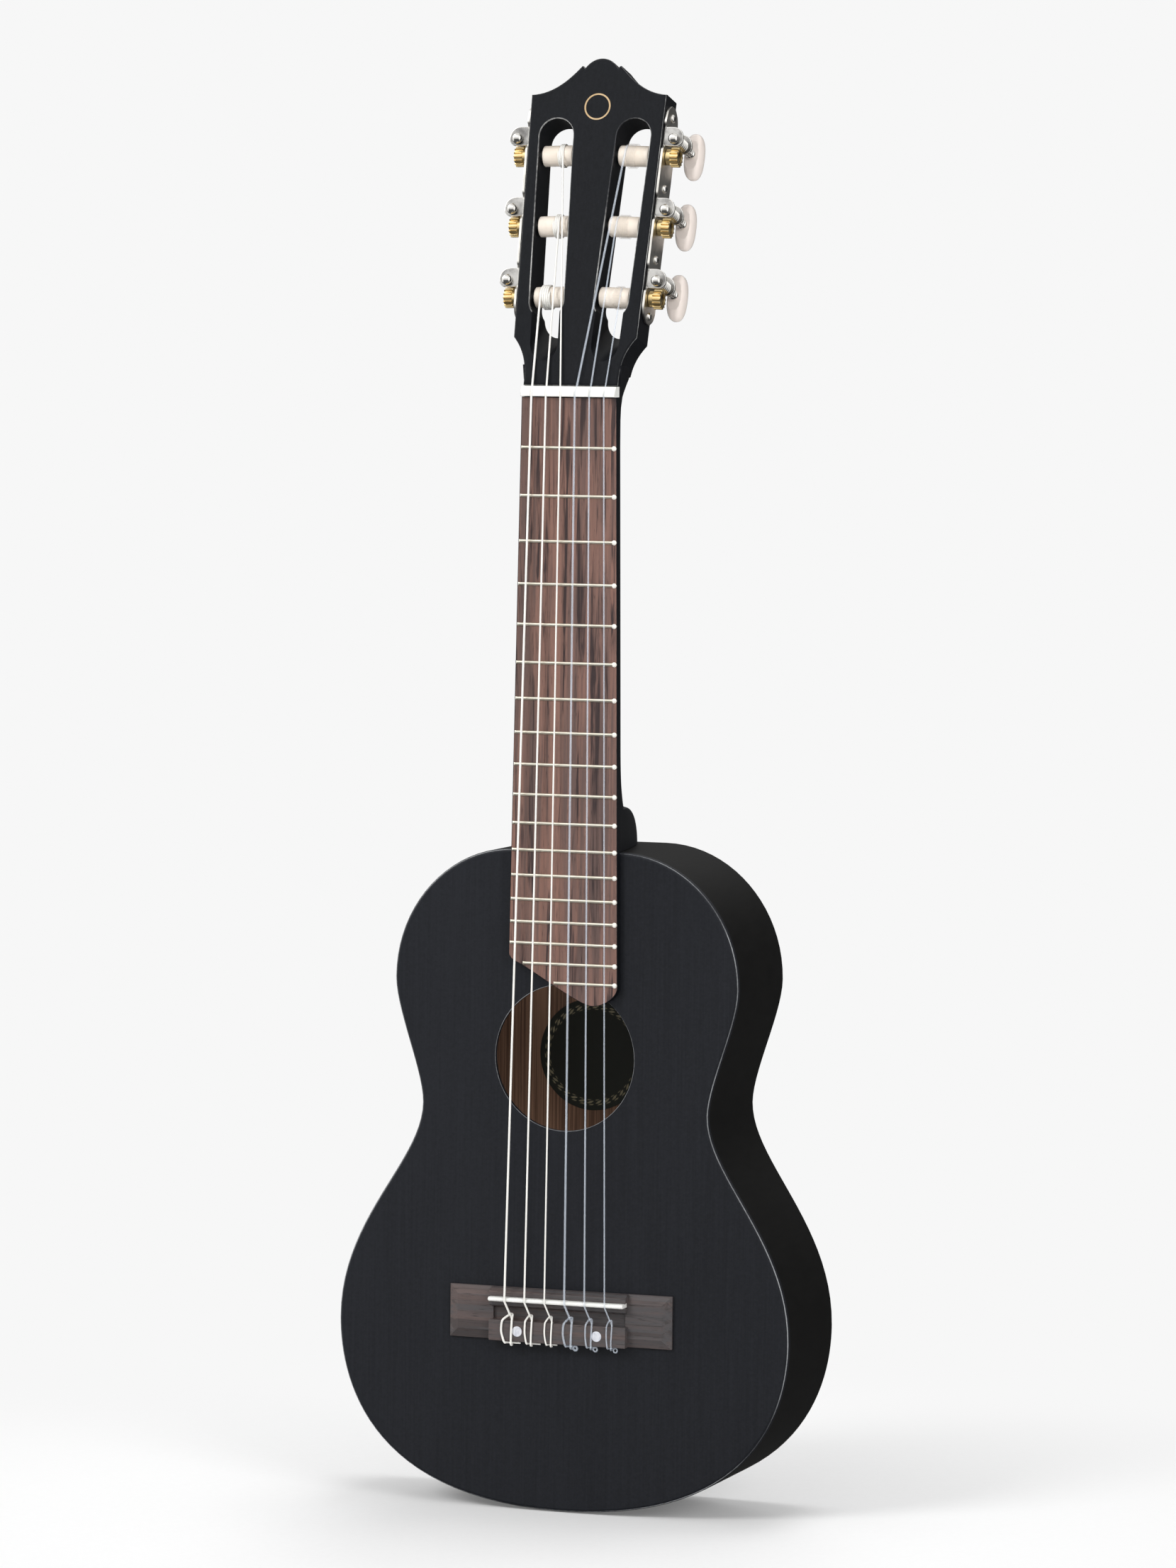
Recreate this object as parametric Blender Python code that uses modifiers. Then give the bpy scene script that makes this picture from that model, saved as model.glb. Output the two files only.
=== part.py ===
"""Guitalele: a six-string travel guitar with nylon strings and a slotted head.

Frame: +Z runs up the neck, -Y is the side that faces the player's audience and +X is the
treble side. The origin is on the centre line, at the front edge of the nut and on the
playing face of the fingerboard.
"""

import bpy
import bmesh
from math import atan2, cos, pi, radians, sin, sqrt
from mathutils import Matrix, Vector
from mathutils.geometry import interpolate_bezier

MM = 0.001

# Clearances
FIT = 0.2 * MM
RUNNING_FIT = 0.3 * MM

# Scale and fingerboard
SCALE_LENGTH = 433.0 * MM
FRET_COUNT = 18
CLEAR_FRET_COUNT = 12
BOARD_WIDTH_AT_NUT = 48.0 * MM
BOARD_WIDTH_AT_JOINT = 53.8 * MM
BOARD_THICKNESS = 3.8 * MM
BOARD_END_ROUND = 5.0 * MM
BOARD_BASS_END = 49.0 * MM
BOARD_TREBLE_END = 73.7 * MM
FRET_WIDTH = 2.2 * MM
FRET_HEIGHT = 0.9 * MM
FRET_SETBACK = 0.4 * MM
TANG_THICKNESS = 0.6 * MM
TANG_DEPTH = 1.5 * MM

# Body
BODY_LENGTH = 319.0 * MM
BODY_DEPTH = 70.0 * MM
SHOULDER_FLAT = 54.0 * MM
UPPER_BOUT_WIDTH = 174.4 * MM
UPPER_BOUT_AT = 64.0 * MM
WAIST_WIDTH = 145.4 * MM
WAIST_AT = 124.4 * MM
LOWER_BOUT_WIDTH = 229.0 * MM
LOWER_BOUT_AT = 231.0 * MM
PLATE_THICKNESS = 2.5 * MM
BACK_THICKNESS = 2.5 * MM
RIM_THICKNESS = 1.8 * MM
EDGE_ROUND = 1.5 * MM
LINING_WIDTH = 4.5 * MM
LINING_HEIGHT = 12.0 * MM
LINING_END_GAP = 14.0 * MM
SOUNDHOLE_RADIUS = 35.2 * MM
SOUNDHOLE_AT = 99.6 * MM
BLOCK_WIDTH = 60.0 * MM
NECK_BLOCK_LENGTH = 24.0 * MM
TAIL_BLOCK_LENGTH = 12.0 * MM

# Braces
BRACE_WIDTH = 6.0 * MM
BRACE_HEIGHT = 9.0 * MM
BRACE_SUNK = 0.5 * MM
SOUNDHOLE_BRACE_GAP = 9.0 * MM
FAN_BRACE_COUNT = 5
FAN_BRACE_WIDTH = 4.0 * MM
FAN_BRACE_HEIGHT = 4.5 * MM
FAN_BRACE_LENGTH = 118.0 * MM
FAN_SPREAD_AT_TOP = 58.0 * MM
FAN_SPREAD_AT_END = 120.0 * MM
BRIDGE_PATCH_LENGTH = 128.0 * MM
BRIDGE_PATCH_WIDTH = 30.0 * MM
BRIDGE_PATCH_THICKNESS = 2.0 * MM
BACK_BRACES_AT = (46.0 * MM, 152.0 * MM, 238.0 * MM)

# Bridge and saddle
BRIDGE_LENGTH = 113.0 * MM
BRIDGE_WIDTH = 25.5 * MM
BRIDGE_BLOCK_LENGTH = 69.5 * MM
BRIDGE_BLOCK_HEIGHT = 7.0 * MM
BRIDGE_WING_HEIGHT = 3.2 * MM
BRIDGE_WING_EDGE = 1.2 * MM
BRIDGE_WING_SLOPE = 4.5 * MM
BRIDGE_NOSE = 3.4 * MM
TIE_BLOCK_WIDTH = 10.0 * MM
VALLEY_FLOOR = 1.8 * MM
VALLEY_SLOPE = 1.4 * MM
SADDLE_LENGTH = 68.5 * MM
SADDLE_THICKNESS = 3.0 * MM
SADDLE_HEIGHT = 10.2 * MM
SADDLE_SEAT = 1.8 * MM
SADDLE_CROWN = 1.2 * MM
STRING_HOLE_CLEARANCE = 0.35 * MM
STRING_HOLE_HEIGHT = 3.5 * MM

# Neck and heel
NECK_DEPTH_AT_NUT = 16.2 * MM
NECK_DEPTH_AT_HEEL = 17.8 * MM
HEEL_NOSE_LENGTH = 20.0 * MM
HEEL_NOSE_DEPTH = 30.0 * MM
HEEL_SWEEP_LENGTH = 28.0 * MM
HEEL_CAP_WIDTH = 33.0 * MM
ROUND_BACK = 1.15
OVAL_BACK = 1.0
SQUARE_BACK = 0.5
NECK_SWELL_AT = 24.0 * MM
NECK_END_AT = 4.0 * MM
THROAT_RISE = 1.6 * MM
NUT_THICKNESS = 5.0 * MM
NUT_HEIGHT = 6.5 * MM
NUT_SLOPE = 1.5 * MM

# Head
HEAD_TILT = radians(14.5)
HEAD_THICKNESS = 19.0 * MM
HEAD_FACE_BELOW_BOARD = 1.3 * MM
HEAD_VENEER = 4.0 * MM
THROAT_CUT_HALF = 9.0 * MM
HEAD_LENGTH = 162.0 * MM
HEAD_THROAT_WIDTH = 48.0 * MM
HEAD_LOW_WIDTH = 62.4 * MM
HEAD_LOW_AT = 24.0 * MM
HEAD_TOP_WIDTH = 68.6 * MM
HEAD_TOP_AT = 144.0 * MM
CROWN_NOTCH_HALF = 10.0 * MM
CROWN_NOTCH_AT = 158.2 * MM
SLOT_WIDTH = 17.2 * MM
SLOT_LOW_X = 16.3 * MM
SLOT_LOW_AT = 42.0 * MM
SLOT_TOP_X = 19.6 * MM
SLOT_TOP_AT = 123.4 * MM
RAMP_START_AT = 12.3 * MM
RAMP_RADIUS = 7.0 * MM
RAMP_ANGLE = radians(50.0)

# Tuning machines, three to a side
ROLLER_SPACING = 35.0 * MM
LOW_ROLLER_AT = 45.0 * MM
ROLLER_DEPTH = 7.5 * MM
ROLLER_RADIUS = 5.0 * MM
ROLLER_JOURNAL_RADIUS = 2.8 * MM
ROLLER_JOURNAL_LENGTH = 4.0 * MM
PLATE_METAL = 1.2 * MM
PLATE_FRONT = 0.8 * MM
PLATE_REAR = 17.6 * MM
PLATE_BELOW_ROLLER = 12.0 * MM
PLATE_ABOVE_ROLLER = 25.0 * MM
TIP_LENGTH = 6.5 * MM
EAR_FRONT = 2.4 * MM
EAR_BELOW_WORM = 3.3 * MM
EAR_ABOVE_WORM = 6.1 * MM
EAR_BEYOND_WORM = 4.3 * MM
WORM_ABOVE_ROLLER = 7.5 * MM
WORM_OUT = 5.9 * MM
WORM_RADIUS = 3.1 * MM
WORM_ROOT_RADIUS = 2.25 * MM
WORM_JOURNAL_RADIUS = 1.6 * MM
WORM_STEM_RADIUS = 1.9 * MM
WORM_COLLAR_RADIUS = 2.5 * MM
WORM_BALL_RADIUS = 2.65 * MM
WORM_STEM_LENGTH = 10.8 * MM
THREAD_STEPS = 8
GEAR_TEETH = 14
GEAR_RADIUS = 4.9 * MM
GEAR_ROOT_RADIUS = 4.0 * MM
GEAR_WIDTH = 4.2 * MM
GEAR_HUB_RADIUS = 3.9 * MM
GEAR_SCREW_RADIUS = 2.5 * MM
GEAR_SCREW_DEPTH = 1.2 * MM
BUTTON_LENGTH = 12.5 * MM
BUTTON_HEIGHT = 22.0 * MM
BUTTON_THICKNESS = 8.0 * MM

# Strings, from the thin treble to the thick bass
STRING_DIAMETERS = (0.72 * MM, 0.85 * MM, 1.05 * MM, 0.80 * MM, 0.92 * MM, 1.06 * MM)
NUT_STRING_SPREAD = 36.5 * MM
SADDLE_STRING_SPREAD = 50.8 * MM
NUT_STRING_HEIGHT = 2.3 * MM
WINDING_GAP = 0.22 * MM
TIE_GAP = 0.48 * MM
LOOP_FROM_HOLE = 2.9 * MM
GAP_STEP = 0.3 * MM
WINDING_TURNS = (5, 6, 4, 3, 3, 4)
WINDING_PITCH = (1.15 * MM, 1.28 * MM, 1.48 * MM, 1.25 * MM, 1.36 * MM, 1.5 * MM)
WINDING_START_X = (20.0 * MM, 14.6 * MM, 15.5 * MM, -16.0 * MM, -14.5 * MM, -20.3 * MM)
WINDING_SENSE = (-1, 1, 1, -1, -1, 1)
WINDING_POINTS = 10


# Values that follow from the sizes above
NECK_PLANE = BOARD_THICKNESS + FIT
TOP_FACE = NECK_PLANE
BACK_FACE = TOP_FACE + BODY_DEPTH
JOINT_Z = -SCALE_LENGTH * (1 - 2 ** (-CLEAR_FRET_COUNT / 12))
SOUNDHOLE_Z = JOINT_Z - SOUNDHOLE_AT
SADDLE_Z = -SCALE_LENGTH
BRIDGE_TOP_Z = SADDLE_Z + SADDLE_THICKNESS / 2 + FIT + BRIDGE_NOSE
TIE_BLOCK_Z = BRIDGE_TOP_Z - BRIDGE_WIDTH + TIE_BLOCK_WIDTH
HEAD_FRAME = (Matrix.Translation((0, HEAD_FACE_BELOW_BOARD, NUT_THICKNESS))
              @ Matrix.Rotation(-HEAD_TILT, 4, 'X'))
FACING_FRONT = Matrix.Rotation(pi / 2, 4, 'X')
EAR_REAR = PLATE_REAR - FIT
THREAD_PITCH = 2 * pi * (WORM_ABOVE_ROLLER - (WORM_RADIUS + WORM_ROOT_RADIUS) / 2 - FIT) / GEAR_TEETH


# Scene and object helpers

def clear_scene():
    for obj in list(bpy.data.objects):
        bpy.data.objects.remove(obj, do_unlink=True)


def new_collection(name):
    collection = bpy.data.collections.new(name)
    bpy.context.scene.collection.children.link(collection)
    return collection


def new_material(name, colour, roughness, metallic=0.0):
    material = bpy.data.materials.new(name)
    material.use_nodes = True
    shader = material.node_tree.nodes['Principled BSDF']
    shader.inputs['Base Color'].default_value = (*colour, 1.0)
    shader.inputs['Roughness'].default_value = roughness
    shader.inputs['Metallic'].default_value = metallic
    return material


def new_object(name, data, matrix=None, collection=None, parent=None):
    obj = bpy.data.objects.new(name, data)
    (collection or PARTS).objects.link(obj)
    obj.parent = parent
    obj.matrix_local = matrix or Matrix()
    return obj


def as_cutter(obj):
    obj.hide_render = True
    obj.display_type = 'WIRE'
    return obj


def paint(obj, material):
    obj.data.materials.clear()
    obj.data.materials.append(material)
    return obj


def bmesh_object(name, bm, matrix=None, collection=None, parent=None):
    bmesh.ops.recalc_face_normals(bm, faces=bm.faces)
    mesh = bpy.data.meshes.new(name)
    bm.to_mesh(mesh)
    bm.free()
    return new_object(name, mesh, matrix, collection, parent)


def evaluated_mesh(obj):
    graph = bpy.context.evaluated_depsgraph_get()
    graph.update()
    return bpy.data.meshes.new_from_object(obj.evaluated_get(graph))


def meshed(obj):
    """Swap a curve, or an object with modifiers, for its finished and welded mesh."""
    mesh = evaluated_mesh(obj)
    bm = bmesh.new()
    bm.from_mesh(mesh)
    bmesh.ops.remove_doubles(bm, verts=bm.verts, dist=0.001 * MM)
    bmesh.ops.recalc_face_normals(bm, faces=bm.faces)
    bm.to_mesh(mesh)
    bm.free()
    name, matrix, parent = obj.name, obj.matrix_local.copy(), obj.parent
    collection = obj.users_collection[0]
    bpy.data.objects.remove(obj, do_unlink=True)
    mesh.name = name
    return new_object(name, mesh, matrix, collection, parent)


def boolean(obj, other, operation='DIFFERENCE'):
    """Cut or join at once, and keep the other body as a hidden cutter."""
    modifier = obj.modifiers.new('cut', 'BOOLEAN')
    modifier.solver = 'EXACT'
    modifier.operation = operation
    modifier.object = other
    as_cutter(other)
    mesh = evaluated_mesh(obj)
    obj.modifiers.remove(modifier)
    obj.data = mesh
    return obj


def smooth(obj, angle=35):
    obj.data.shade_smooth()
    obj.data.set_sharp_from_angle(angle=radians(angle))
    return obj


# Shape helpers

def box(name, low, high, matrix=None, collection=None, parent=None):
    bm = bmesh.new()
    low, high = Vector(low), Vector(high)
    bmesh.ops.create_cube(bm, size=1.0)
    bmesh.ops.scale(bm, vec=high - low, verts=bm.verts)
    bmesh.ops.translate(bm, vec=(low + high) / 2, verts=bm.verts)
    return bmesh_object(name, bm, matrix, collection, parent)


def cylinder(name, radius, start, end, sides, collection=None, parent=None):
    start, end = Vector(start), Vector(end)
    bm = bmesh.new()
    bmesh.ops.create_cone(bm, cap_ends=True, segments=sides, radius1=radius, radius2=radius,
                          depth=(end - start).length)
    turn = (end - start).to_track_quat('Z', 'Y').to_matrix().to_4x4()
    matrix = Matrix.Translation((start + end) / 2) @ turn
    return bmesh_object(name, bm, matrix, collection, parent)


def flat_shape(name, outlines, thickness, matrix, collection=None, parent=None):
    """A filled outline, with any further outlines as its holes, made solid both ways."""
    curve = bpy.data.curves.new(name, 'CURVE')
    curve.dimensions = '2D'
    curve.fill_mode = 'BOTH'
    curve.extrude = thickness / 2
    for outline in outlines:
        spline = curve.splines.new('POLY')
        spline.points.add(len(outline) - 1)
        for point, (x, y) in zip(spline.points, outline):
            point.co = (x, y, 0, 1)
        spline.use_cyclic_u = True
    return meshed(new_object(name, curve, matrix, collection, parent))


def turned(name, profile, steps, matrix=None, collection=None, parent=None):
    """A Screw modifier round Z of a profile that runs down its outer side."""
    mesh = bpy.data.meshes.new(name)
    mesh.from_pydata([(radius, 0, height) for radius, height in profile],
                     [(i, i + 1) for i in range(len(profile) - 1)], [])
    obj = new_object(name, mesh, matrix, collection, parent)
    screw = obj.modifiers.new('turn', 'SCREW')
    screw.steps = steps
    screw.render_steps = steps
    screw.use_merge_vertices = True
    screw.merge_threshold = 0.01 * MM
    return obj


def loft(name, sections, closed=False, matrix=None, collection=None):
    """Join rings of points, one after another, and cap the ends of an open run."""
    bm = bmesh.new()
    rings = [[bm.verts.new(point) for point in section] for section in sections]
    pairs = list(zip(rings, rings[1:]))
    if closed:
        pairs.append((rings[-1], rings[0]))
    for ring, following in pairs:
        for i in range(len(ring)):
            j = (i + 1) % len(ring)
            bm.faces.new((ring[i], ring[j], following[j], following[i]))
    if not closed:
        bm.faces.new(rings[0])
        bm.faces.new(rings[-1])
    return bmesh_object(name, bm, matrix, collection)


def tube(name, points, radius):
    curve = bpy.data.curves.new(name, 'CURVE')
    curve.dimensions = '3D'
    curve.bevel_depth = radius
    curve.bevel_resolution = 1
    curve.use_fill_caps = True
    spline = curve.splines.new('POLY')
    spline.points.add(len(points) - 1)
    for point, place in zip(spline.points, points):
        point.co = (*place, 1)
    return new_object(name, curve)


def arc(centre, radius, start, end, steps):
    angles = [radians(start + (end - start) * i / steps) for i in range(steps + 1)]
    return [(centre[0] + radius * cos(a), centre[1] + radius * sin(a)) for a in angles]


def circle(centre, radius, sides):
    return arc(centre, radius, 0, 360 - 360 / sides, sides - 1)


def bezier(start, start_handle, end_handle, end, steps):
    """Points along a curve, without the last one."""
    knots = [Vector((*p, 0)) for p in (start, start_handle, end_handle, end)]
    return [(p.x, p.y) for p in interpolate_bezier(*knots, steps + 1)[:-1]]


def lerp(a, b, t):
    return a + (b - a) * t


# Outlines

def fret_z(number):
    return -SCALE_LENGTH * (1 - 2 ** (-number / 12))


def board_half_width(z):
    slope = (BOARD_WIDTH_AT_JOINT - BOARD_WIDTH_AT_NUT) / 2 / -JOINT_Z
    return BOARD_WIDTH_AT_NUT / 2 - z * slope


def half_body():
    """The treble half of the body's outline, from the neck joint round to the tail."""
    flat, upper, waist, lower = (w / 2 for w in (SHOULDER_FLAT, UPPER_BOUT_WIDTH,
                                                 WAIST_WIDTH, LOWER_BOUT_WIDTH))
    to_waist = WAIST_AT - UPPER_BOUT_AT
    to_lower = LOWER_BOUT_AT - WAIST_AT
    to_tail = BODY_LENGTH - LOWER_BOUT_AT
    points = [(0, 0)]
    points += bezier((flat, 0), (lerp(flat, upper, 0.55), 0),
                     (upper, UPPER_BOUT_AT * 0.45), (upper, UPPER_BOUT_AT), 6)
    points += bezier((upper, UPPER_BOUT_AT), (upper, UPPER_BOUT_AT + 0.27 * to_waist),
                     (waist, WAIST_AT - 0.25 * to_waist), (waist, WAIST_AT), 4)
    points += bezier((waist, WAIST_AT), (waist, WAIST_AT + 0.27 * to_lower),
                     (lower, LOWER_BOUT_AT - 0.46 * to_lower), (lower, LOWER_BOUT_AT), 7)
    points += bezier((lower, LOWER_BOUT_AT), (lower, LOWER_BOUT_AT + 0.32 * to_tail),
                     (0.89 * lower, BODY_LENGTH), (0, BODY_LENGTH), 9)
    points.append((0, BODY_LENGTH))
    return [(x, JOINT_Z - along) for x, along in points]


def body_outline(inset=0.0):
    """The whole outline, clockwise from the neck joint, moved inward by the inset."""
    half = half_body()
    loop = half + [(-x, z) for x, z in reversed(half[1:-1])]
    count = len(loop)
    moved = []
    for i in range(count):
        before, here, after = (Vector(loop[(i + k) % count]) for k in (-1, 0, 1))
        first = (here - before).normalized()
        second = (after - here).normalized()
        inward = Vector((first.y + second.y, -first.x - second.x)).normalized()
        mitre = inward.dot(Vector((second.y, -second.x)))
        moved.append(tuple(here + inward * inset / mitre))
    return moved


def body_half_width(z, inset=0.0):
    loop = body_outline(inset)
    for (x0, z0), (x1, z1) in zip(loop, loop[1:]):
        if z0 >= z >= z1 and z0 > z1:
            return lerp(x0, x1, (z0 - z) / (z0 - z1))
    return 0.0


def board_outline():
    """The fingerboard from the nut to its slanted, S-shaped end over the soundhole."""
    bass_z = JOINT_Z - BOARD_BASS_END
    treble_z = JOINT_Z - BOARD_TREBLE_END
    bass = -board_half_width(bass_z)
    treble = board_half_width(treble_z)
    corner_z = treble_z + 2 * BOARD_END_ROUND
    low_x = lerp(bass, treble, 0.76)
    start = (bass + BOARD_END_ROUND, bass_z - BOARD_END_ROUND)
    points = [(-BOARD_WIDTH_AT_NUT / 2, -FIT), (BOARD_WIDTH_AT_NUT / 2, -FIT)]
    points += bezier((board_half_width(corner_z), corner_z),
                     (board_half_width(corner_z), lerp(corner_z, treble_z, 0.6)),
                     (low_x + BOARD_END_ROUND, treble_z), (low_x, treble_z), 5)
    points += bezier((low_x, treble_z), (low_x - BOARD_END_ROUND, treble_z),
                     (start[0] + 2 * BOARD_END_ROUND, start[1] - BOARD_END_ROUND), start, 6)
    points += bezier(start, (bass + 0.3 * BOARD_END_ROUND, start[1] + 0.25 * BOARD_END_ROUND),
                     (bass, bass_z - 0.5 * BOARD_END_ROUND), (bass, bass_z), 3)
    points.append((bass, bass_z))
    return points


def board_span(z):
    """Where the fingerboard begins and ends across the neck at a height."""
    loop = board_outline()
    crossings = []
    for (x0, z0), (x1, z1) in zip(loop, loop[1:] + loop[:1]):
        if (z0 - z) * (z1 - z) < 0:
            crossings.append(lerp(x0, x1, (z0 - z) / (z0 - z1)))
    return min(crossings), max(crossings)


def head_half_width(along):
    t = (along - HEAD_LOW_AT) / (HEAD_TOP_AT - HEAD_LOW_AT)
    return lerp(HEAD_LOW_WIDTH, HEAD_TOP_WIDTH, t) / 2


def head_outline():
    """The head's face, from its throat at the nut up to the crown."""
    throat, low, top = HEAD_THROAT_WIDTH / 2, HEAD_LOW_WIDTH / 2, HEAD_TOP_WIDTH / 2
    start = 0.3 * MM
    flare_at = 3.0 * MM
    half = [(throat, start)]
    half += bezier((throat, flare_at), (throat, lerp(flare_at, HEAD_LOW_AT, 0.4)),
                   (lerp(low, throat, 0.25), lerp(HEAD_LOW_AT, flare_at, 0.3)),
                   (low, HEAD_LOW_AT), 5)
    half.append((low, HEAD_LOW_AT))
    half += bezier((top, HEAD_TOP_AT), (lerp(top, 0, 0.35), HEAD_TOP_AT + 0.5 * MM),
                   (CROWN_NOTCH_HALF * 1.45, CROWN_NOTCH_AT - 5.0 * MM),
                   (CROWN_NOTCH_HALF, CROWN_NOTCH_AT), 5)
    half.append((CROWN_NOTCH_HALF, CROWN_NOTCH_AT))
    half += bezier((CROWN_NOTCH_HALF - 2.0 * MM, CROWN_NOTCH_AT - 1.0 * MM),
                   (CROWN_NOTCH_HALF * 0.6, HEAD_LENGTH - 2.4 * MM),
                   (CROWN_NOTCH_HALF * 0.4, HEAD_LENGTH), (0, HEAD_LENGTH), 3)
    return half + [(0, HEAD_LENGTH)] + [(-x, s) for x, s in reversed(half)]


def slot_x(along):
    t = (along - SLOT_LOW_AT) / (SLOT_TOP_AT - SLOT_LOW_AT)
    return lerp(SLOT_LOW_X, SLOT_TOP_X, t)


def slot_outline(side):
    radius = SLOT_WIDTH / 2
    top = arc((slot_x(SLOT_TOP_AT), SLOT_TOP_AT), radius, 0, 180, 8)
    low = arc((slot_x(SLOT_LOW_AT), SLOT_LOW_AT), radius, 180, 360, 8)
    return [(side * x, s) for x, s in top + low]


# Body

def soundboard():
    hole = circle((0, SOUNDHOLE_Z), SOUNDHOLE_RADIUS, 32)
    middle = Matrix.Translation((0, TOP_FACE + PLATE_THICKNESS / 2, 0)) @ FACING_FRONT
    obj = flat_shape('soundboard', [body_outline(), hole], PLATE_THICKNESS, middle)
    round_outer_edge(obj, -1, body_outline())
    inner = TOP_FACE + PLATE_THICKNESS
    for brace in soundboard_braces(inner):
        boolean(obj, brace, 'UNION')
    return paint(obj, SPRUCE)


def round_outer_edge(obj, facing, outline):
    """Chamfer the outline's edges on the face that looks along the given Y direction."""
    places = {(round(x, 5), round(z, 5)) for x, z in outline}
    bm = bmesh.new()
    bm.from_mesh(obj.data)
    world = obj.matrix_local
    reach = max((world @ v.co).y * facing for v in bm.verts)

    def on_edge(vert):
        place = world @ vert.co
        flush = abs(place.y * facing - reach) < 0.01 * MM
        return flush and (round(place.x, 5), round(place.z, 5)) in places

    edges = [e for e in bm.edges
             if all(on_edge(v) for v in e.verts) and len(e.link_faces) == 2
             and abs(e.link_faces[0].normal.dot(e.link_faces[1].normal)) < 0.5]
    bmesh.ops.bevel(bm, geom=edges, offset=EDGE_ROUND, offset_type='OFFSET', segments=1,
                    profile=0.5, affect='EDGES', material=-1)
    bm.to_mesh(obj.data)
    bm.free()


def cross_brace(name, z, inner, direction):
    """A bar right across a plate, ending just inside the linings."""
    half = body_half_width(z, RIM_THICKNESS + LINING_WIDTH) - 4 * FIT
    half = min(half, body_half_width(z + BRACE_WIDTH / 2, RIM_THICKNESS + LINING_WIDTH) - 4 * FIT)
    half = min(half, body_half_width(z - BRACE_WIDTH / 2, RIM_THICKNESS + LINING_WIDTH) - 4 * FIT)
    depths = sorted((inner - direction * BRACE_SUNK, inner + direction * BRACE_HEIGHT))
    return box(name, (-half, depths[0], z - BRACE_WIDTH / 2),
               (half, depths[1], z + BRACE_WIDTH / 2), collection=CUTTERS)


def soundboard_braces(inner):
    reach = SOUNDHOLE_RADIUS + SOUNDHOLE_BRACE_GAP
    upper = cross_brace('upper_brace', SOUNDHOLE_Z + reach, inner, 1)
    lower = cross_brace('lower_brace', SOUNDHOLE_Z - reach, inner, 1)
    patch_z = BRIDGE_TOP_Z - BRIDGE_WIDTH / 2
    half_patch = Vector((BRIDGE_PATCH_LENGTH, 0, BRIDGE_PATCH_WIDTH)) / 2
    centre = Vector((0, inner, patch_z))
    patch = box('bridge_patch', centre - half_patch - Vector((0, BRACE_SUNK, 0)),
                centre + half_patch + Vector((0, BRIDGE_PATCH_THICKNESS, 0)), collection=CUTTERS)
    braces = [upper, lower, patch]
    start = SOUNDHOLE_Z - reach - BRACE_WIDTH
    for i in range(FAN_BRACE_COUNT):
        share = i / (FAN_BRACE_COUNT - 1) - 0.5
        top = Vector((share * FAN_SPREAD_AT_TOP, 0, start))
        end_x = share * FAN_SPREAD_AT_END
        run = Vector((end_x - top.x, 0, 0))
        length = FAN_BRACE_LENGTH
        drop = sqrt(length ** 2 - run.x ** 2)
        turn = Matrix.Rotation(atan2(-run.x, drop), 4, 'Y')
        place = Matrix.Translation((top.x, inner, top.z)) @ turn.inverted()
        braces.append(box('fan_brace_%d' % (i + 1),
                          (-FAN_BRACE_WIDTH / 2, -BRACE_SUNK, -length),
                          (FAN_BRACE_WIDTH / 2, FAN_BRACE_HEIGHT, 0), place, CUTTERS))
    return braces


def back():
    middle = Matrix.Translation((0, BACK_FACE - BACK_THICKNESS / 2, 0)) @ FACING_FRONT
    obj = flat_shape('back', [body_outline()], BACK_THICKNESS, middle)
    round_outer_edge(obj, 1, body_outline())
    for i, along in enumerate(BACK_BRACES_AT):
        brace = cross_brace('back_brace_%d' % (i + 1), JOINT_Z - along,
                            BACK_FACE - BACK_THICKNESS, -1)
        boolean(obj, brace, 'UNION')
    return paint(obj, MAHOGANY)


def rim():
    """The bent sides with their linings, which stop where the two blocks stand."""
    front = TOP_FACE + PLATE_THICKNESS + FIT
    rear = BACK_FACE - BACK_THICKNESS - FIT
    outer = body_outline()
    inner = body_outline(RIM_THICKNESS)
    lining = body_outline(RIM_THICKNESS + LINING_WIDTH)
    sections = []
    for i, (x, z) in enumerate(outer):
        by_block = abs(x) < BLOCK_WIDTH / 2 + LINING_END_GAP and (
            z > JOINT_Z - NECK_BLOCK_LENGTH or z < JOINT_Z - BODY_LENGTH + NECK_BLOCK_LENGTH)
        ledge = inner[i] if by_block else lining[i]
        sections.append([(x, front, z), (ledge[0], front, ledge[1]),
                         (inner[i][0], front + LINING_HEIGHT, inner[i][1]),
                         (inner[i][0], rear - LINING_HEIGHT, inner[i][1]),
                         (ledge[0], rear, ledge[1]), (x, rear, z)])
    return paint(loft('rim', sections, closed=True), MAHOGANY)


def end_block(name, top):
    """A block that fits the rim's inner curve, at the neck or at the tail."""
    curve = body_outline(RIM_THICKNESS + FIT)
    half = BLOCK_WIDTH / 2
    if top:
        seat = [p for p in curve if p[1] > JOINT_Z - NECK_BLOCK_LENGTH]
        inner_z = JOINT_Z - RIM_THICKNESS - NECK_BLOCK_LENGTH
    else:
        seat = [p for p in curve if p[1] < JOINT_Z - BODY_LENGTH + NECK_BLOCK_LENGTH]
        inner_z = JOINT_Z - BODY_LENGTH + RIM_THICKNESS + TAIL_BLOCK_LENGTH
    seat = sorted(seat)
    inside = [p for p in seat if abs(p[0]) < half]
    outline = [(-half, inner_z), edge_point(seat, -half)] + inside
    outline += [edge_point(seat, half), (half, inner_z)]
    front = TOP_FACE + PLATE_THICKNESS + FIT
    rear = BACK_FACE - BACK_THICKNESS - FIT
    middle = Matrix.Translation((0, (front + rear) / 2, 0)) @ FACING_FRONT
    return paint(flat_shape(name, [outline], rear - front, middle), MAHOGANY)


def edge_point(points, x):
    for (x0, z0), (x1, z1) in zip(points, points[1:]):
        if x0 <= x <= x1 and x1 > x0:
            return (x, lerp(z0, z1, (x - x0) / (x1 - x0)))
    return (x, points[0][1])


# Neck and head

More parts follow.
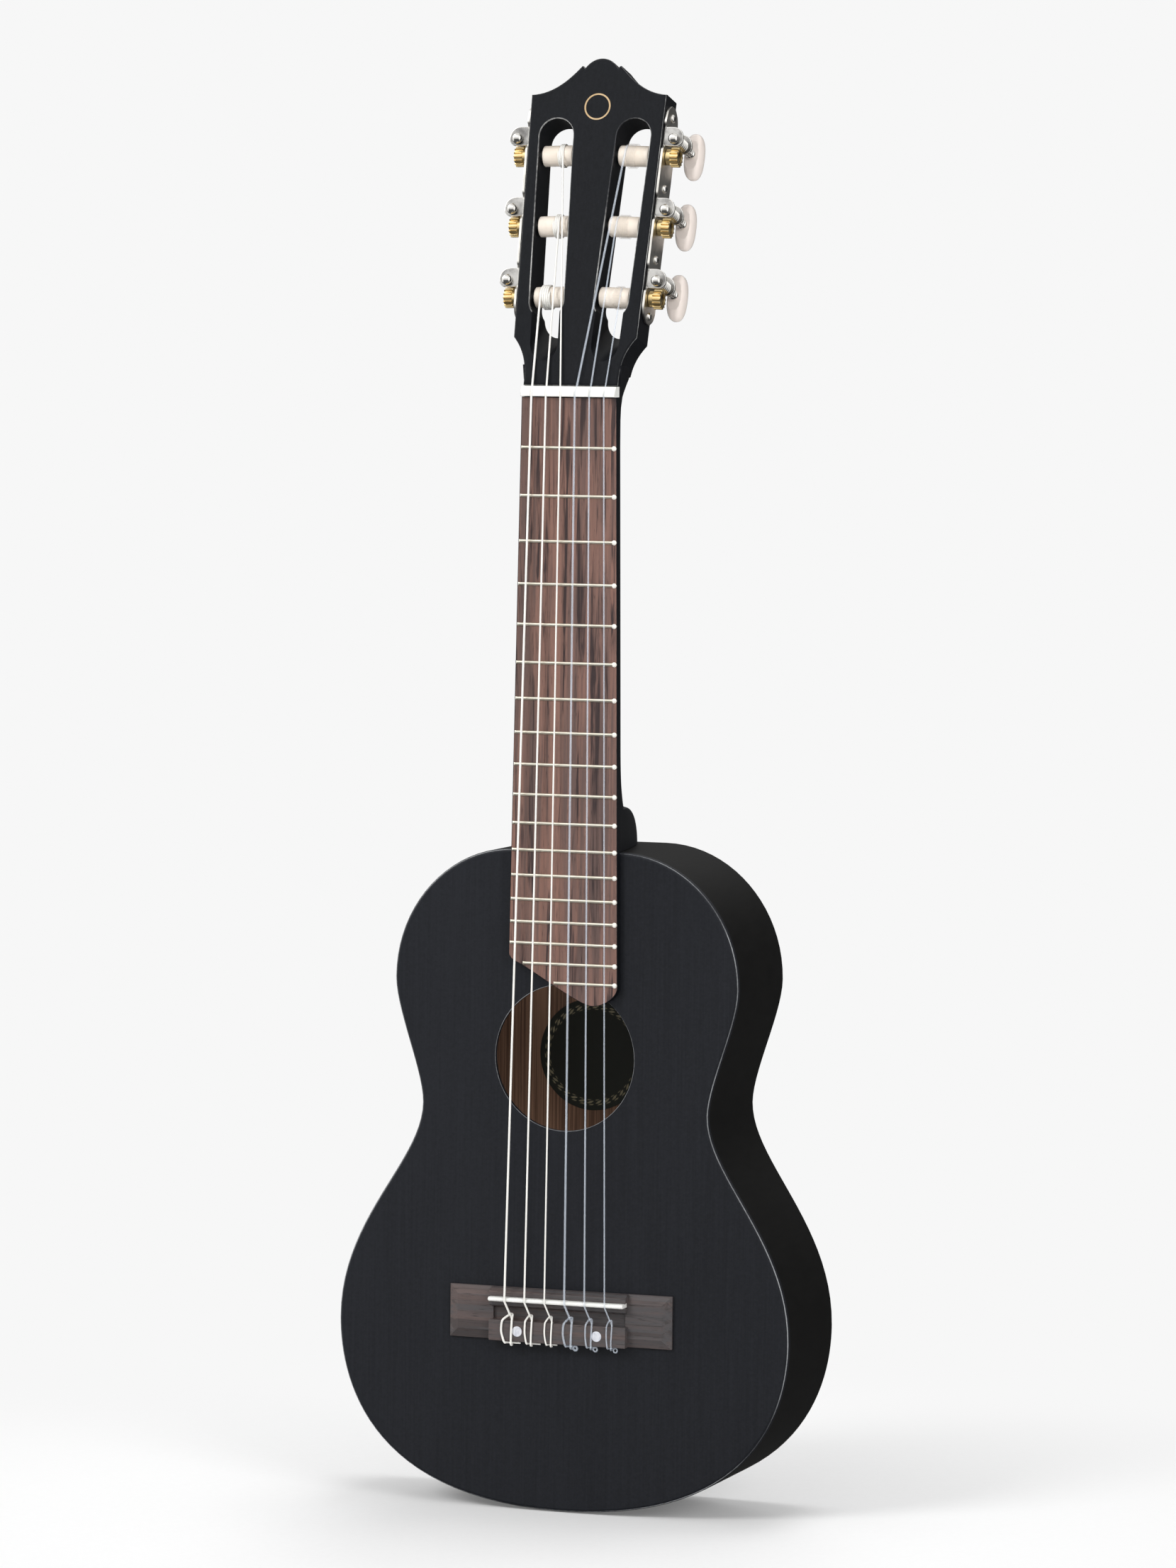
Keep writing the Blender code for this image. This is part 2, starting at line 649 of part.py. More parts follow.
def neck_section(z, half_width, depth, fullness, taper):
    """A ring round the neck: flat on top, from a round back to a square one."""
    ring = [(half_width, NECK_PLANE, z)]
    quarter = []
    steps = 6
    for i in range(1, steps + 1):
        angle = pi / 2 * i / steps
        down = depth * sin(angle) ** fullness
        width = half_width - taper * down
        quarter.append((width * max(cos(angle), 0.0) ** fullness, NECK_PLANE + down))
    ring += [(x, y, z) for x, y in quarter[:-1]]
    ring.append((0, NECK_PLANE + depth, z))
    ring += [(-x, y, z) for x, y in reversed(quarter[:-1])]
    ring.append((-half_width, NECK_PLANE, z))
    return ring


def neck_loft():
    """From the heel's flat end over its round nose and the sweep above it, up to the head."""
    start = JOINT_Z + FIT
    full = BACK_FACE - NECK_PLANE
    narrowing = (board_half_width(JOINT_Z) - HEEL_CAP_WIDTH / 2) / full
    sections = []
    for angle in (0, 20, 38, 54, 68, 80):
        share = cos(radians(angle))
        z = start + HEEL_NOSE_LENGTH * sin(radians(angle))
        depth = lerp(HEEL_NOSE_DEPTH, full, share)
        fullness = lerp(OVAL_BACK, SQUARE_BACK, sqrt(share))
        taper = lerp(0.0, narrowing, sqrt(share))
        sections.append(neck_section(z, board_half_width(z), depth, fullness, taper))
    for step in range(5):
        left = (1 - step / 4) ** 2
        z = start + HEEL_NOSE_LENGTH + HEEL_SWEEP_LENGTH * step / 4
        depth = lerp(NECK_DEPTH_AT_HEEL, HEEL_NOSE_DEPTH, left)
        fullness = lerp(ROUND_BACK, OVAL_BACK, left)
        sections.append(neck_section(z, board_half_width(z), depth, fullness, 0.0))
    z = -NECK_SWELL_AT
    sections.append(neck_section(z, board_half_width(z), NECK_DEPTH_AT_NUT, ROUND_BACK, 0.0))
    half = BOARD_WIDTH_AT_NUT / 2
    throat = HEAD_THICKNESS - THROAT_RISE
    sections.append(neck_section(-NECK_END_AT, half, NECK_DEPTH_AT_NUT, 0.7, 0.0))
    sections.append(neck_section(NUT_THICKNESS, half, throat, 0.45, 0.0))
    sections.append(neck_section(2 * NUT_THICKNESS, half, throat + THROAT_RISE / 2, 0.4, 0.0))
    sections.append(neck_section(3 * NUT_THICKNESS, half, throat + THROAT_RISE, 0.4, 0.0))
    return loft('neck', sections)


def head_blank():
    middle = HEAD_FRAME @ Matrix.Translation((0, HEAD_THICKNESS / 2, 0)) @ FACING_FRONT
    outlines = [head_outline(), slot_outline(1), slot_outline(-1)]
    blank = flat_shape('head_blank', outlines, HEAD_THICKNESS, middle, CUTTERS)
    wide = HEAD_TOP_WIDTH
    throat = box('throat_cut', (-wide, HEAD_VENEER, -THROAT_CUT_HALF),
                 (wide, 2 * HEAD_THICKNESS, THROAT_CUT_HALF), HEAD_FRAME, CUTTERS)
    return boolean(blank, throat)


def slot_ramp(side):
    """A steep groove with a round bottom, from the face near the nut to the slot's rear."""
    section = arc((0, 0), RAMP_RADIUS, 180, 360, 8)
    section += [(RAMP_RADIUS, SLOT_WIDTH), (-RAMP_RADIUS, SLOT_WIDTH)]
    run = Vector((0, sin(RAMP_ANGLE), cos(RAMP_ANGLE)))
    rise = Vector((0, -cos(RAMP_ANGLE), sin(RAMP_ANGLE)))
    start = Vector((0, 0, RAMP_START_AT)) + rise * RAMP_RADIUS
    rings = []
    for travel in (-HEAD_THICKNESS, 3 * HEAD_THICKNESS):
        places = [start + run * travel + rise * up + Vector((across, 0, 0))
                  for across, up in section]
        rings.append([HEAD_FRAME @ Vector((side * (slot_x(place.z) + place.x), place.y, place.z))
                      for place in places])
    return loft('ramp_cut', rings, collection=CUTTERS)


def roller_bore(side, index):
    frame = tuner_frame(side)
    inner = -(head_half_width(roller_at(index)) - slot_x(roller_at(index))) - SLOT_WIDTH / 2
    inner -= ROLLER_JOURNAL_LENGTH + RUNNING_FIT
    radius = ROLLER_JOURNAL_RADIUS + RUNNING_FIT
    ends = [frame @ Vector((side * out, ROLLER_DEPTH, tuner_height(index)))
            for out in (inner, 3 * PLATE_METAL)]
    return cylinder('roller_bore', radius, ends[0], ends[1], 10, CUTTERS)


def neck():
    obj = neck_loft()
    boolean(obj, head_blank(), 'UNION')
    nut_seat = box('nut_seat', (-HEAD_TOP_WIDTH, -2 * NUT_HEIGHT, -NUT_THICKNESS),
                   (HEAD_TOP_WIDTH, NECK_PLANE, NUT_THICKNESS + FIT), collection=CUTTERS)
    boolean(obj, nut_seat)
    for side in (-1, 1):
        boolean(obj, slot_ramp(side))
        for index in range(3):
            boolean(obj, roller_bore(side, index))
    return smooth(paint(obj, BLACK_NECK), 30)


# Fingerboard, frets and nut

def fingerboard():
    middle = Matrix.Translation((0, BOARD_THICKNESS / 2, 0)) @ FACING_FRONT
    obj = flat_shape('fingerboard', [board_outline()], BOARD_THICKNESS, middle)
    half = TANG_THICKNESS / 2 + FIT
    for number in range(1, FRET_COUNT + 1):
        z = fret_z(number)
        wide = BOARD_WIDTH_AT_JOINT
        cut = box('fret_slot_%02d' % number, (-wide, -BOARD_THICKNESS, z - half),
                  (wide, TANG_DEPTH + FIT, z + half), collection=CUTTERS)
        boolean(obj, cut)
    return paint(obj, ROSEWOOD)


def fret(number):
    """A fret wire: a low round crown on a tang that drops into the board's slot."""
    z = fret_z(number)
    spans = [board_span(z + step) for step in (-FRET_WIDTH / 2, 0, FRET_WIDTH / 2)]
    start = max(span[0] for span in spans) + FRET_SETBACK
    end = min(span[1] for span in spans) - FRET_SETBACK
    half = FRET_WIDTH / 2
    crown = [(half * cos(radians(a)), -FIT - (FRET_HEIGHT - FIT) * sin(radians(a)))
             for a in (0, 38, 90, 142, 180)]
    tang = TANG_THICKNESS / 2
    profile = crown + [(-tang, -FIT), (-tang, TANG_DEPTH), (tang, TANG_DEPTH), (tang, -FIT)]
    sections = [[(x, y, z + across) for across, y in profile] for x in (start, end)]
    return paint(loft('fret_%02d' % number, sections), NICKEL)


def nut():
    half = BOARD_WIDTH_AT_NUT / 2
    top = NECK_PLANE - FIT - NUT_HEIGHT
    profile = [(0, NECK_PLANE - FIT), (0, top), (0.3 * NUT_THICKNESS, top),
               (NUT_THICKNESS, top + NUT_SLOPE), (NUT_THICKNESS, NECK_PLANE - FIT)]
    obj = loft('nut', [[(x, y, z) for z, y in profile] for x in (-half, half)])
    for number in range(1, 7):
        boolean(obj, nut_groove(number))
    return paint(obj, BONE)


def nut_groove(number):
    """The notch for one string, with its floor along the string's path over the nut."""
    radius = STRING_DIAMETERS[number - 1] / 2
    rest, leave = nut_point(number), roller_tangent(number)
    slope = (leave.y - rest.y) / (leave.z - rest.z)
    drift = (leave.x - rest.x) / (leave.z - rest.z)
    floor = rest.y + radius + FIT
    high = -2 * NUT_HEIGHT
    behind = NUT_THICKNESS
    sections = []
    for sign in (-1, 1):
        edge = rest.x + sign * (radius + FIT)
        shift = drift * 2 * behind
        sections.append([(edge, high, -behind), (edge, floor, -behind), (edge, floor, 0),
                         (edge + shift, floor + slope * 2 * behind, 2 * behind),
                         (edge + shift, high, 2 * behind)])
    return loft('nut_groove', sections, collection=CUTTERS)


# Bridge and saddle

def bridge():
    base = TOP_FACE - FIT
    rear = BRIDGE_TOP_Z - BRIDGE_WIDTH
    obj = bridge_wings(base, rear)
    inner = BRIDGE_BLOCK_LENGTH / 2 - RUNNING_FIT
    boolean(obj, box('wing_gap', (-inner, -BRIDGE_BLOCK_HEIGHT, 2 * rear),
                     (inner, BACK_FACE, 0), collection=CUTTERS))
    boolean(obj, bridge_block(base, rear), 'UNION')
    for number in range(1, 7):
        x = tie_hole_x(number)
        y = TOP_FACE - STRING_HOLE_HEIGHT
        radius = STRING_DIAMETERS[number - 1] / 2 + STRING_HOLE_CLEARANCE
        hole = cylinder('string_hole', radius, (x, y, rear - FIT * 5),
                        (x, y, TIE_BLOCK_Z + FIT * 5), 8, CUTTERS)
        boolean(obj, hole)
    return paint(obj, ROSEWOOD_DARK)


def bridge_wings(base, rear):
    """A flat foot whose upper edges slope down all round."""
    half = BRIDGE_LENGTH / 2
    rings = []
    for inset, height in ((0, 0), (0, BRIDGE_WING_EDGE), (BRIDGE_WING_SLOPE, BRIDGE_WING_HEIGHT)):
        side = half - inset
        low, high = rear + 0.6 * inset, BRIDGE_TOP_Z - 0.6 * inset
        y = base - height
        rings.append([(-side, y, low), (side, y, low), (side, y, high), (-side, y, high)])
    return loft('bridge', rings)


def bridge_block(base, rear):
    """The middle of the bridge: saddle seat, valley and tie block in one section."""
    top = TOP_FACE - BRIDGE_BLOCK_HEIGHT
    floor = TOP_FACE - VALLEY_FLOOR
    seat_half = SADDLE_THICKNESS / 2 + FIT
    seat_back = SADDLE_Z - seat_half - 1.5 * MM
    profile = [(BRIDGE_TOP_Z, base), (BRIDGE_TOP_Z, top + 3.0 * MM),
               (BRIDGE_TOP_Z - 1.6 * MM, top), (SADDLE_Z + seat_half, top),
               (SADDLE_Z + seat_half, TOP_FACE - SADDLE_SEAT),
               (SADDLE_Z - seat_half, TOP_FACE - SADDLE_SEAT),
               (SADDLE_Z - seat_half, top), (seat_back, top + 0.4 * MM),
               (seat_back - VALLEY_SLOPE, floor), (TIE_BLOCK_Z, floor),
               (TIE_BLOCK_Z, top), (rear, top), (rear, base)]
    half = BRIDGE_BLOCK_LENGTH / 2
    sections = [[(x, y, z) for z, y in profile] for x in (-half, half)]
    return loft('bridge_block', sections, collection=CUTTERS)


def saddle():
    half = SADDLE_LENGTH / 2
    low = TOP_FACE - SADDLE_SEAT - FIT
    top = TOP_FACE - SADDLE_HEIGHT
    thick = SADDLE_THICKNESS / 2
    shoulder = 0.8 * MM
    crown = SADDLE_CROWN / 2
    profile = [(-thick, low), (thick, low), (thick, top + shoulder), (crown, top),
               (-crown, top), (-thick, top + shoulder)]
    sections = [[(x, y, SADDLE_Z + across) for across, y in profile] for x in (-half, half)]
    return paint(loft('saddle', sections), BONE)


# Tuning machines

def roller_at(index):
    return LOW_ROLLER_AT + index * ROLLER_SPACING


def tuner_height(index):
    return (index - 1) * ROLLER_SPACING


def tuner_frame(side):
    """On the head's edge by the middle roller: X across, Y into the head, Z along the edge."""
    middle = roller_at(1)
    splay = atan2(head_half_width(HEAD_TOP_AT) - head_half_width(HEAD_LOW_AT),
                  HEAD_TOP_AT - HEAD_LOW_AT)
    return (HEAD_FRAME @ Matrix.Translation((side * head_half_width(middle), 0, middle))
            @ Matrix.Rotation(side * splay, 4, 'Y'))


def string_number(side, index):
    """The outer strings go to the low rollers and the inner ones to the high rollers."""
    return 1 + index if side > 0 else 6 - index


def tuner_plate(side, name, frame):
    """A strip of metal along the head's edge, with an ear at each end of every worm."""
    middle = Matrix.Translation((side * (FIT + PLATE_METAL / 2), 0, 0)) @ Matrix.Rotation(
        pi / 2, 4, 'Y')
    flip = [(-z, y) for y, z in plate_outline()]
    obj = flat_shape(name, [flip], PLATE_METAL, middle, parent=frame)
    for index in range(3):
        boolean(obj, roller_bore(side, index))
        for depth in (EAR_FRONT, EAR_REAR - PLATE_METAL):
            boolean(obj, plate_ear(side, index, depth, frame), 'UNION')
    return paint(obj, NICKEL)


def plate_outline():
    """The plate in its own plane, as depth and height, stepped back beside each ear."""
    low = tuner_height(0) - PLATE_BELOW_ROLLER
    high = tuner_height(2) + PLATE_ABOVE_ROLLER
    centre = (PLATE_FRONT + PLATE_REAR) / 2
    half = (PLATE_REAR - PLATE_FRONT) / 2
    recess = EAR_FRONT + FIT
    points = [(centre - 0.3 * half, low), (centre - 0.8 * half, low + 0.45 * TIP_LENGTH),
              (PLATE_FRONT, low + TIP_LENGTH)]
    for index in range(3):
        worm = tuner_height(index) + WORM_ABOVE_ROLLER
        bottom, top = worm - EAR_BELOW_WORM, worm + EAR_ABOVE_WORM
        points += [(PLATE_FRONT, bottom - 1.5 * MM), (recess, bottom - 0.2 * MM),
                   (recess, top + 0.2 * MM), (PLATE_FRONT, top + 1.8 * MM)]
    points += [(centre - 0.8 * half, high - 0.45 * TIP_LENGTH), (centre - 0.3 * half, high),
               (centre + 0.3 * half, high), (centre + 0.8 * half, high - 0.45 * TIP_LENGTH),
               (PLATE_REAR, high - TIP_LENGTH), (PLATE_REAR, low + TIP_LENGTH),
               (centre + 0.8 * half, low + 0.45 * TIP_LENGTH), (centre + 0.3 * half, low)]
    return points


def plate_ear(side, index, depth, frame):
    worm = tuner_height(index) + WORM_ABOVE_ROLLER
    inner, outer = FIT + 0.3 * PLATE_METAL, WORM_OUT + EAR_BEYOND_WORM
    low, high = worm - EAR_BELOW_WORM, worm + EAR_ABOVE_WORM
    outline = [(inner, low), (outer - 2.0 * MM, low), (outer, worm - 1.2 * MM),
               (outer, worm + 1.6 * MM), (outer - 1.3 * MM, high - 1.5 * MM),
               (outer - 4.0 * MM, high), (inner, high)]
    hole = circle((WORM_OUT, worm), WORM_JOURNAL_RADIUS + RUNNING_FIT, 8)
    loops = [[(side * x, z) for x, z in loop] for loop in (outline, hole)]
    middle = Matrix.Translation((0, depth + PLATE_METAL / 2, 0)) @ FACING_FRONT
    return flat_shape('plate_ear', loops, PLATE_METAL, middle, CUTTERS, frame)


def outward(side):
    """Turns a piece made along Z so that its Z points away from the head."""
    return Matrix.Rotation(side * pi / 2, 4, 'Y')


def roller(side, index, frame):
    """The cream roller that the string winds on, with its two journals."""
    along = roller_at(index)
    slot_middle = slot_x(along) - head_half_width(along)
    half = SLOT_WIDTH / 2 - 3 * RUNNING_FIT
    tip = FIT + PLATE_METAL
    profile = [(0, tip), (ROLLER_JOURNAL_RADIUS, tip),
               (ROLLER_JOURNAL_RADIUS, slot_middle + half),
               (ROLLER_RADIUS, slot_middle + half), (ROLLER_RADIUS, slot_middle - half),
               (ROLLER_JOURNAL_RADIUS, slot_middle - half),
               (ROLLER_JOURNAL_RADIUS, slot_middle - half - ROLLER_JOURNAL_LENGTH),
               (0, slot_middle - half - ROLLER_JOURNAL_LENGTH)]
    place = Matrix.Translation((0, ROLLER_DEPTH, tuner_height(index))) @ outward(side)
    name = 'roller_%d' % string_number(side, index)
    obj = meshed(turned(name, profile, 14, place, parent=frame))
    return smooth(paint(obj, CREAM))


def gear(side, index, frame):
    """The brass wheel on the roller's end, with its hub against the plate."""
    hub = FIT + PLATE_METAL + FIT
    start = WORM_OUT - GEAR_WIDTH / 2
    end = WORM_OUT + GEAR_WIDTH / 2
    pitch = 2 * pi / GEAR_TEETH
    outline = []
    for tooth in range(GEAR_TEETH):
        for share, radius in ((-0.24, GEAR_ROOT_RADIUS), (-0.11, GEAR_RADIUS),
                              (0.11, GEAR_RADIUS), (0.24, GEAR_ROOT_RADIUS)):
            angle = (tooth + share) * pitch
            outline.append((radius * cos(angle), radius * sin(angle)))
    name = 'gear_%d' % string_number(side, index)
    place = Matrix.Translation((0, ROLLER_DEPTH, tuner_height(index))) @ outward(side)
    middle = place @ Matrix.Translation((0, 0, (start + end) / 2))
    obj = flat_shape(name, [outline], GEAR_WIDTH, middle, parent=frame)
    bush = turned('gear_hub', [(0, start + FIT), (GEAR_HUB_RADIUS, start + FIT),
                               (GEAR_HUB_RADIUS, hub), (0, hub)], 12, place, CUTTERS, frame)
    recess = turned('gear_recess', [(0, end + GEAR_SCREW_DEPTH),
                                    (GEAR_SCREW_RADIUS, end + GEAR_SCREW_DEPTH),
                                    (GEAR_SCREW_RADIUS, end - GEAR_SCREW_DEPTH),
                                    (0, end - GEAR_SCREW_DEPTH)], 10, place, CUTTERS, frame)
    boolean(obj, meshed(bush), 'UNION')
    boolean(obj, meshed(recess))
    return paint(centred(obj, place), BRASS)


def centred(obj, place):
    """Move an object's origin to a place on its axis and leave its shape where it is."""
    shift = place.inverted() @ obj.matrix_local
    obj.data.transform(shift)
    obj.matrix_local = place
    return obj


def worm_place(side, index):
    """On the worm's axis, level with the head's face, with Z running into the head."""
    height = tuner_height(index) + WORM_ABOVE_ROLLER
    return (Matrix.Translation((side * WORM_OUT, 0, height))
            @ Matrix.Rotation(-pi / 2, 4, 'X'))


def stem_end():
    return EAR_REAR + RUNNING_FIT + WORM_STEM_LENGTH


def worm(side, index, frame):
    """The worm shaft: ball, thread between the ears, and the stem to the button."""
    front = EAR_FRONT
    thread_start = EAR_FRONT + PLATE_METAL + RUNNING_FIT
    thread_end = EAR_REAR - PLATE_METAL - RUNNING_FIT
    rear = EAR_REAR + RUNNING_FIT
    end = stem_end()
    ball = WORM_BALL_RADIUS
    centre = front - RUNNING_FIT - 0.45 * ball
    dome = [(ball * cos(radians(a)), centre - ball * sin(radians(a))) for a in (-27, 10, 45, 75)]
    profile = [(0, end), (WORM_COLLAR_RADIUS, end), (WORM_COLLAR_RADIUS, end - 1.6 * MM),
               (WORM_STEM_RADIUS, end - 2.2 * MM), (WORM_STEM_RADIUS, rear + 1.6 * MM),
               (WORM_COLLAR_RADIUS, rear + 1.6 * MM), (WORM_COLLAR_RADIUS, rear),
               (WORM_JOURNAL_RADIUS, rear), (WORM_JOURNAL_RADIUS, front - RUNNING_FIT)]
    profile += dome + [(0, centre - ball)]
    name = 'worm_%d' % string_number(side, index)
    place = worm_place(side, index)
    obj = meshed(turned(name, profile, 10, place, parent=frame))
    boolean(obj, worm_thread(thread_start, thread_end, place, frame), 'UNION')
    return smooth(paint(obj, NICKEL), 40)


def worm_thread(start, end, place, frame):
    """A helical ridge round a core, trimmed flat, with a groove facing the gear's tooth."""
    pitch = THREAD_PITCH
    core, crest = WORM_ROOT_RADIUS, WORM_RADIUS
    shape = [(core, 1.0), (core, 0.7), (crest, 0.57), (crest, 0.43), (core, 0.3), (core, 0.0)]
    turns = int((end - start) / pitch) + 4
    mesh = bpy.data.meshes.new('worm_thread')
    mesh.from_pydata([(radius, 0, share * pitch) for radius, share in shape],
                     [(i, i + 1) for i in range(len(shape) - 1)], [])
    obj = new_object('worm_thread', mesh, place, CUTTERS, frame)
    screw = obj.modifiers.new('helix', 'SCREW')
    screw.steps = THREAD_STEPS
    screw.render_steps = THREAD_STEPS
    screw.iterations = turns
    screw.screw_offset = pitch
    obj = meshed(obj)
    quarter_turn_on = 0.25
    lift = ROLLER_DEPTH - pitch * (turns // 2 + quarter_turn_on)
    bm = bmesh.new()
    bm.from_mesh(obj.data)
    bmesh.ops.translate(bm, vec=(0, 0, lift), verts=bm.verts)
    for height, normal in ((start, (0, 0, -1)), (end, (0, 0, 1))):
        geometry = bm.verts[:] + bm.edges[:] + bm.faces[:]
        bmesh.ops.bisect_plane(bm, geom=geometry, plane_co=(0, 0, height), plane_no=normal,
                               clear_outer=True)
    bmesh.ops.remove_doubles(bm, verts=bm.verts, dist=0.01 * MM)
    rims = [edge for edge in bm.edges if len(edge.link_faces) == 1]
    bmesh.ops.holes_fill(bm, edges=rims, sides=0)
    bmesh.ops.recalc_face_normals(bm, faces=bm.faces)
    bm.to_mesh(obj.data)
    bm.free()
    return obj


def button(side, index, frame):
    """An oval finger button, flat where it meets the stem's collar."""
    bm = bmesh.new()
    bmesh.ops.create_uvsphere(bm, u_segments=12, v_segments=7, radius=0.5)
    turn = Matrix.Rotation(pi / 2, 4, 'Y')
    bmesh.ops.transform(bm, matrix=turn, verts=bm.verts)
    bmesh.ops.scale(bm, vec=(BUTTON_THICKNESS, BUTTON_HEIGHT, BUTTON_LENGTH), verts=bm.verts)
    start = stem_end() + FIT
    flat = 0.12 * BUTTON_LENGTH
    bmesh.ops.translate(bm, vec=(0, 0, start + BUTTON_LENGTH / 2 - flat), verts=bm.verts)
    geometry = bm.verts[:] + bm.edges[:] + bm.faces[:]
    bmesh.ops.bisect_plane(bm, geom=geometry, plane_co=(0, 0, start), plane_no=(0, 0, -1),
                           clear_outer=True)
    rims = [edge for edge in bm.edges if len(edge.link_faces) == 1]
    bmesh.ops.holes_fill(bm, edges=rims, sides=0)
    name = 'button_%d' % string_number(side, index)
    obj = bmesh_object(name, bm, worm_place(side, index), parent=frame)
    return smooth(paint(obj, CREAM), 50)


# Strings

def string_place(number):
    """The side and roller index that a string belongs to."""
    return (1, number - 1) if number <= 3 else (-1, 6 - number)


def string_share(number):
    return 0.5 - (number - 1) / 5


def nut_point(number):
    return Vector((NUT_STRING_SPREAD * string_share(number), -NUT_STRING_HEIGHT, 0.2 * MM))


def saddle_point(number):
    radius = STRING_DIAMETERS[number - 1] / 2
    return Vector((SADDLE_STRING_SPREAD * string_share(number),
                   TOP_FACE - SADDLE_HEIGHT - FIT - radius,
                   SADDLE_Z - SADDLE_CROWN / 2))


def tie_hole_x(number):
    return saddle_point(number).x + 1.5 * MM


def winding_radius(number):
    """Far enough out for the straight steps between its points to clear the roller."""
    clear = ROLLER_RADIUS + WINDING_GAP + STRING_DIAMETERS[number - 1] / 2
    return clear / cos(pi / WINDING_POINTS)


def winding_point(number, turn):
    """A point on the winding: turn 0 faces front, and a quarter more is on top."""
    side, index = string_place(number)
    along = WINDING_START_X[number - 1] + WINDING_SENSE[number - 1] * turn * WINDING_PITCH[number - 1]
    out = along - side * head_half_width(roller_at(index))
    radius = winding_radius(number)
    local = Vector((out, ROLLER_DEPTH - radius * cos(2 * pi * turn),
                    tuner_height(index) + radius * sin(2 * pi * turn)))
    return tuner_frame(side) @ local


def roller_tangent(number):
    return winding_point(number, -0.01)


def winding(number):
    count = WINDING_TURNS[number - 1] * WINDING_POINTS
    points = [winding_point(number, i / WINDING_POINTS) for i in range(count + 1)]
    tail = (points[-1] - points[-2]).normalized() * STRING_DIAMETERS[number - 1]
    return points + [points[-1] + tail]


def tie(number):
    """The knot at the bridge, from its tail: over the block, round itself, through the hole."""
    radius = STRING_DIAMETERS[number - 1] / 2
    x = tie_hole_x(number)
    hole = TOP_FACE - STRING_HOLE_HEIGHT
    top = TOP_FACE - BRIDGE_BLOCK_HEIGHT
    front = TIE_BLOCK_Z
    rear = BRIDGE_TOP_Z - BRIDGE_WIDTH
    lie = radius + FIT
    corner = 0.71 * lie
    lap = 2 * radius + TIE_GAP
    tail_y, tail_z = top + 1.6 * MM, rear - lie
    entry = Vector((x, hole, front))
    left_strand = [
        (x + 5.6 * MM, tail_y + 0.3 * MM, tail_z), (x - 0.9 * MM, tail_y, tail_z),
        (x - 2.2 * MM, tail_y - 0.8 * MM, tail_z), (x - 2.8 * MM, top - corner, rear - corner),
        (x - 2.9 * MM, top - lie, rear + 0.6 * MM), (x - 2.8 * MM, top - lie, front),
        (x - 2.7 * MM, top - corner, front + corner), (x - 2.5 * MM, top + 0.4 * MM, front + lie),
    ]
    right_strand = [
        (x + 1.9 * MM, top + 0.4 * MM, front + lie), (x + 1.9 * MM, top - corner, front + corner),
        (x + 1.8 * MM, top - lie, front), (x + 1.5 * MM, top - lie, rear - 0.2 * MM),
        (x + 1.2 * MM, top - 0.4 * MM, tail_z - 0.85 * lap),
        (x + 0.8 * MM, tail_y - 0.1 * MM, tail_z - lap),
        (x + 0.3 * MM, hole - 0.8 * MM, tail_z - 0.85 * lap),
        (x, hole - 0.1 * MM, rear - 1.0 * MM), (x, hole, rear - 0.3 * MM),
    ]
    loop = loop_round(entry, saddle_point(number), 2 * radius + TIE_GAP)
    points = left_strand + loop + right_strand + [(x, hole, rear + 1.0 * MM), entry]
    return [Vector(point) for point in points]


def loop_round(start, end, clear):
    """Half a turn under a stretch of string, in a plane square to it."""
    steps = 4
    radius = clear / cos(pi / steps / 2)
    along = (end - start).normalized()
    centre = start + along * LOOP_FROM_HOLE
    side = Vector((1, 0, 0)) - along * along.x
    side.normalize()
    under = side.cross(along)
    return [centre - side * radius * cos(turn) - under * radius * sin(turn)
            for turn in (pi * i / steps for i in range(steps + 1))]


def least_gap(points, diameter):
    """The smallest space between stretches of a string that aren't neighbours."""
    fine = []
    for a, b in zip(points, points[1:]):
        count = int((b - a).length / GAP_STEP) + 1
        fine += [(a.lerp(b, i / count), (b - a).length / count) for i in range(count)]
    travelled = 0.0
    places = []
    for place, step in fine:
        places.append((place, travelled))
        travelled += step
    reach = 4 * diameter
    nearest = min((b - a).length for a, start in places for b, end in places
                  if end - start > reach)
    return nearest - diameter


def string(number):
    diameter = STRING_DIAMETERS[number - 1]
    knot = tie(number)
    coil = winding(number)
    route = knot + [saddle_point(number), nut_point(number)] + coil
    tied = least_gap(knot + [saddle_point(number)], diameter)
    print('string_%d: winding gap %.2f mm, tie gap %.2f mm' % (
        number, least_gap(coil, diameter) / MM, tied / MM))
    obj = tube('string_%d' % number, route, diameter / 2)
    return paint(obj, BASS_NYLON if number > 3 else TREBLE_NYLON)


def main():
    soundboard()
    back()
    rim()
    end_block('neck_block', True)
    end_block('tail_block', False)
    neck()
    fingerboard()
    for number in range(1, FRET_COUNT + 1):
        fret(number)
    nut()
    bridge()
    saddle()
    for side, name in ((1, 'treble'), (-1, 'bass')):
        frame = new_object('tuner_frame_' + name, None, tuner_frame(side))
        tuner_plate(side, 'tuner_plate_' + name, frame)
        for index in range(3):
            for make in (roller, gear, worm, button):
                make(side, index, frame)
    for number in range(1, 7):
        string(number)


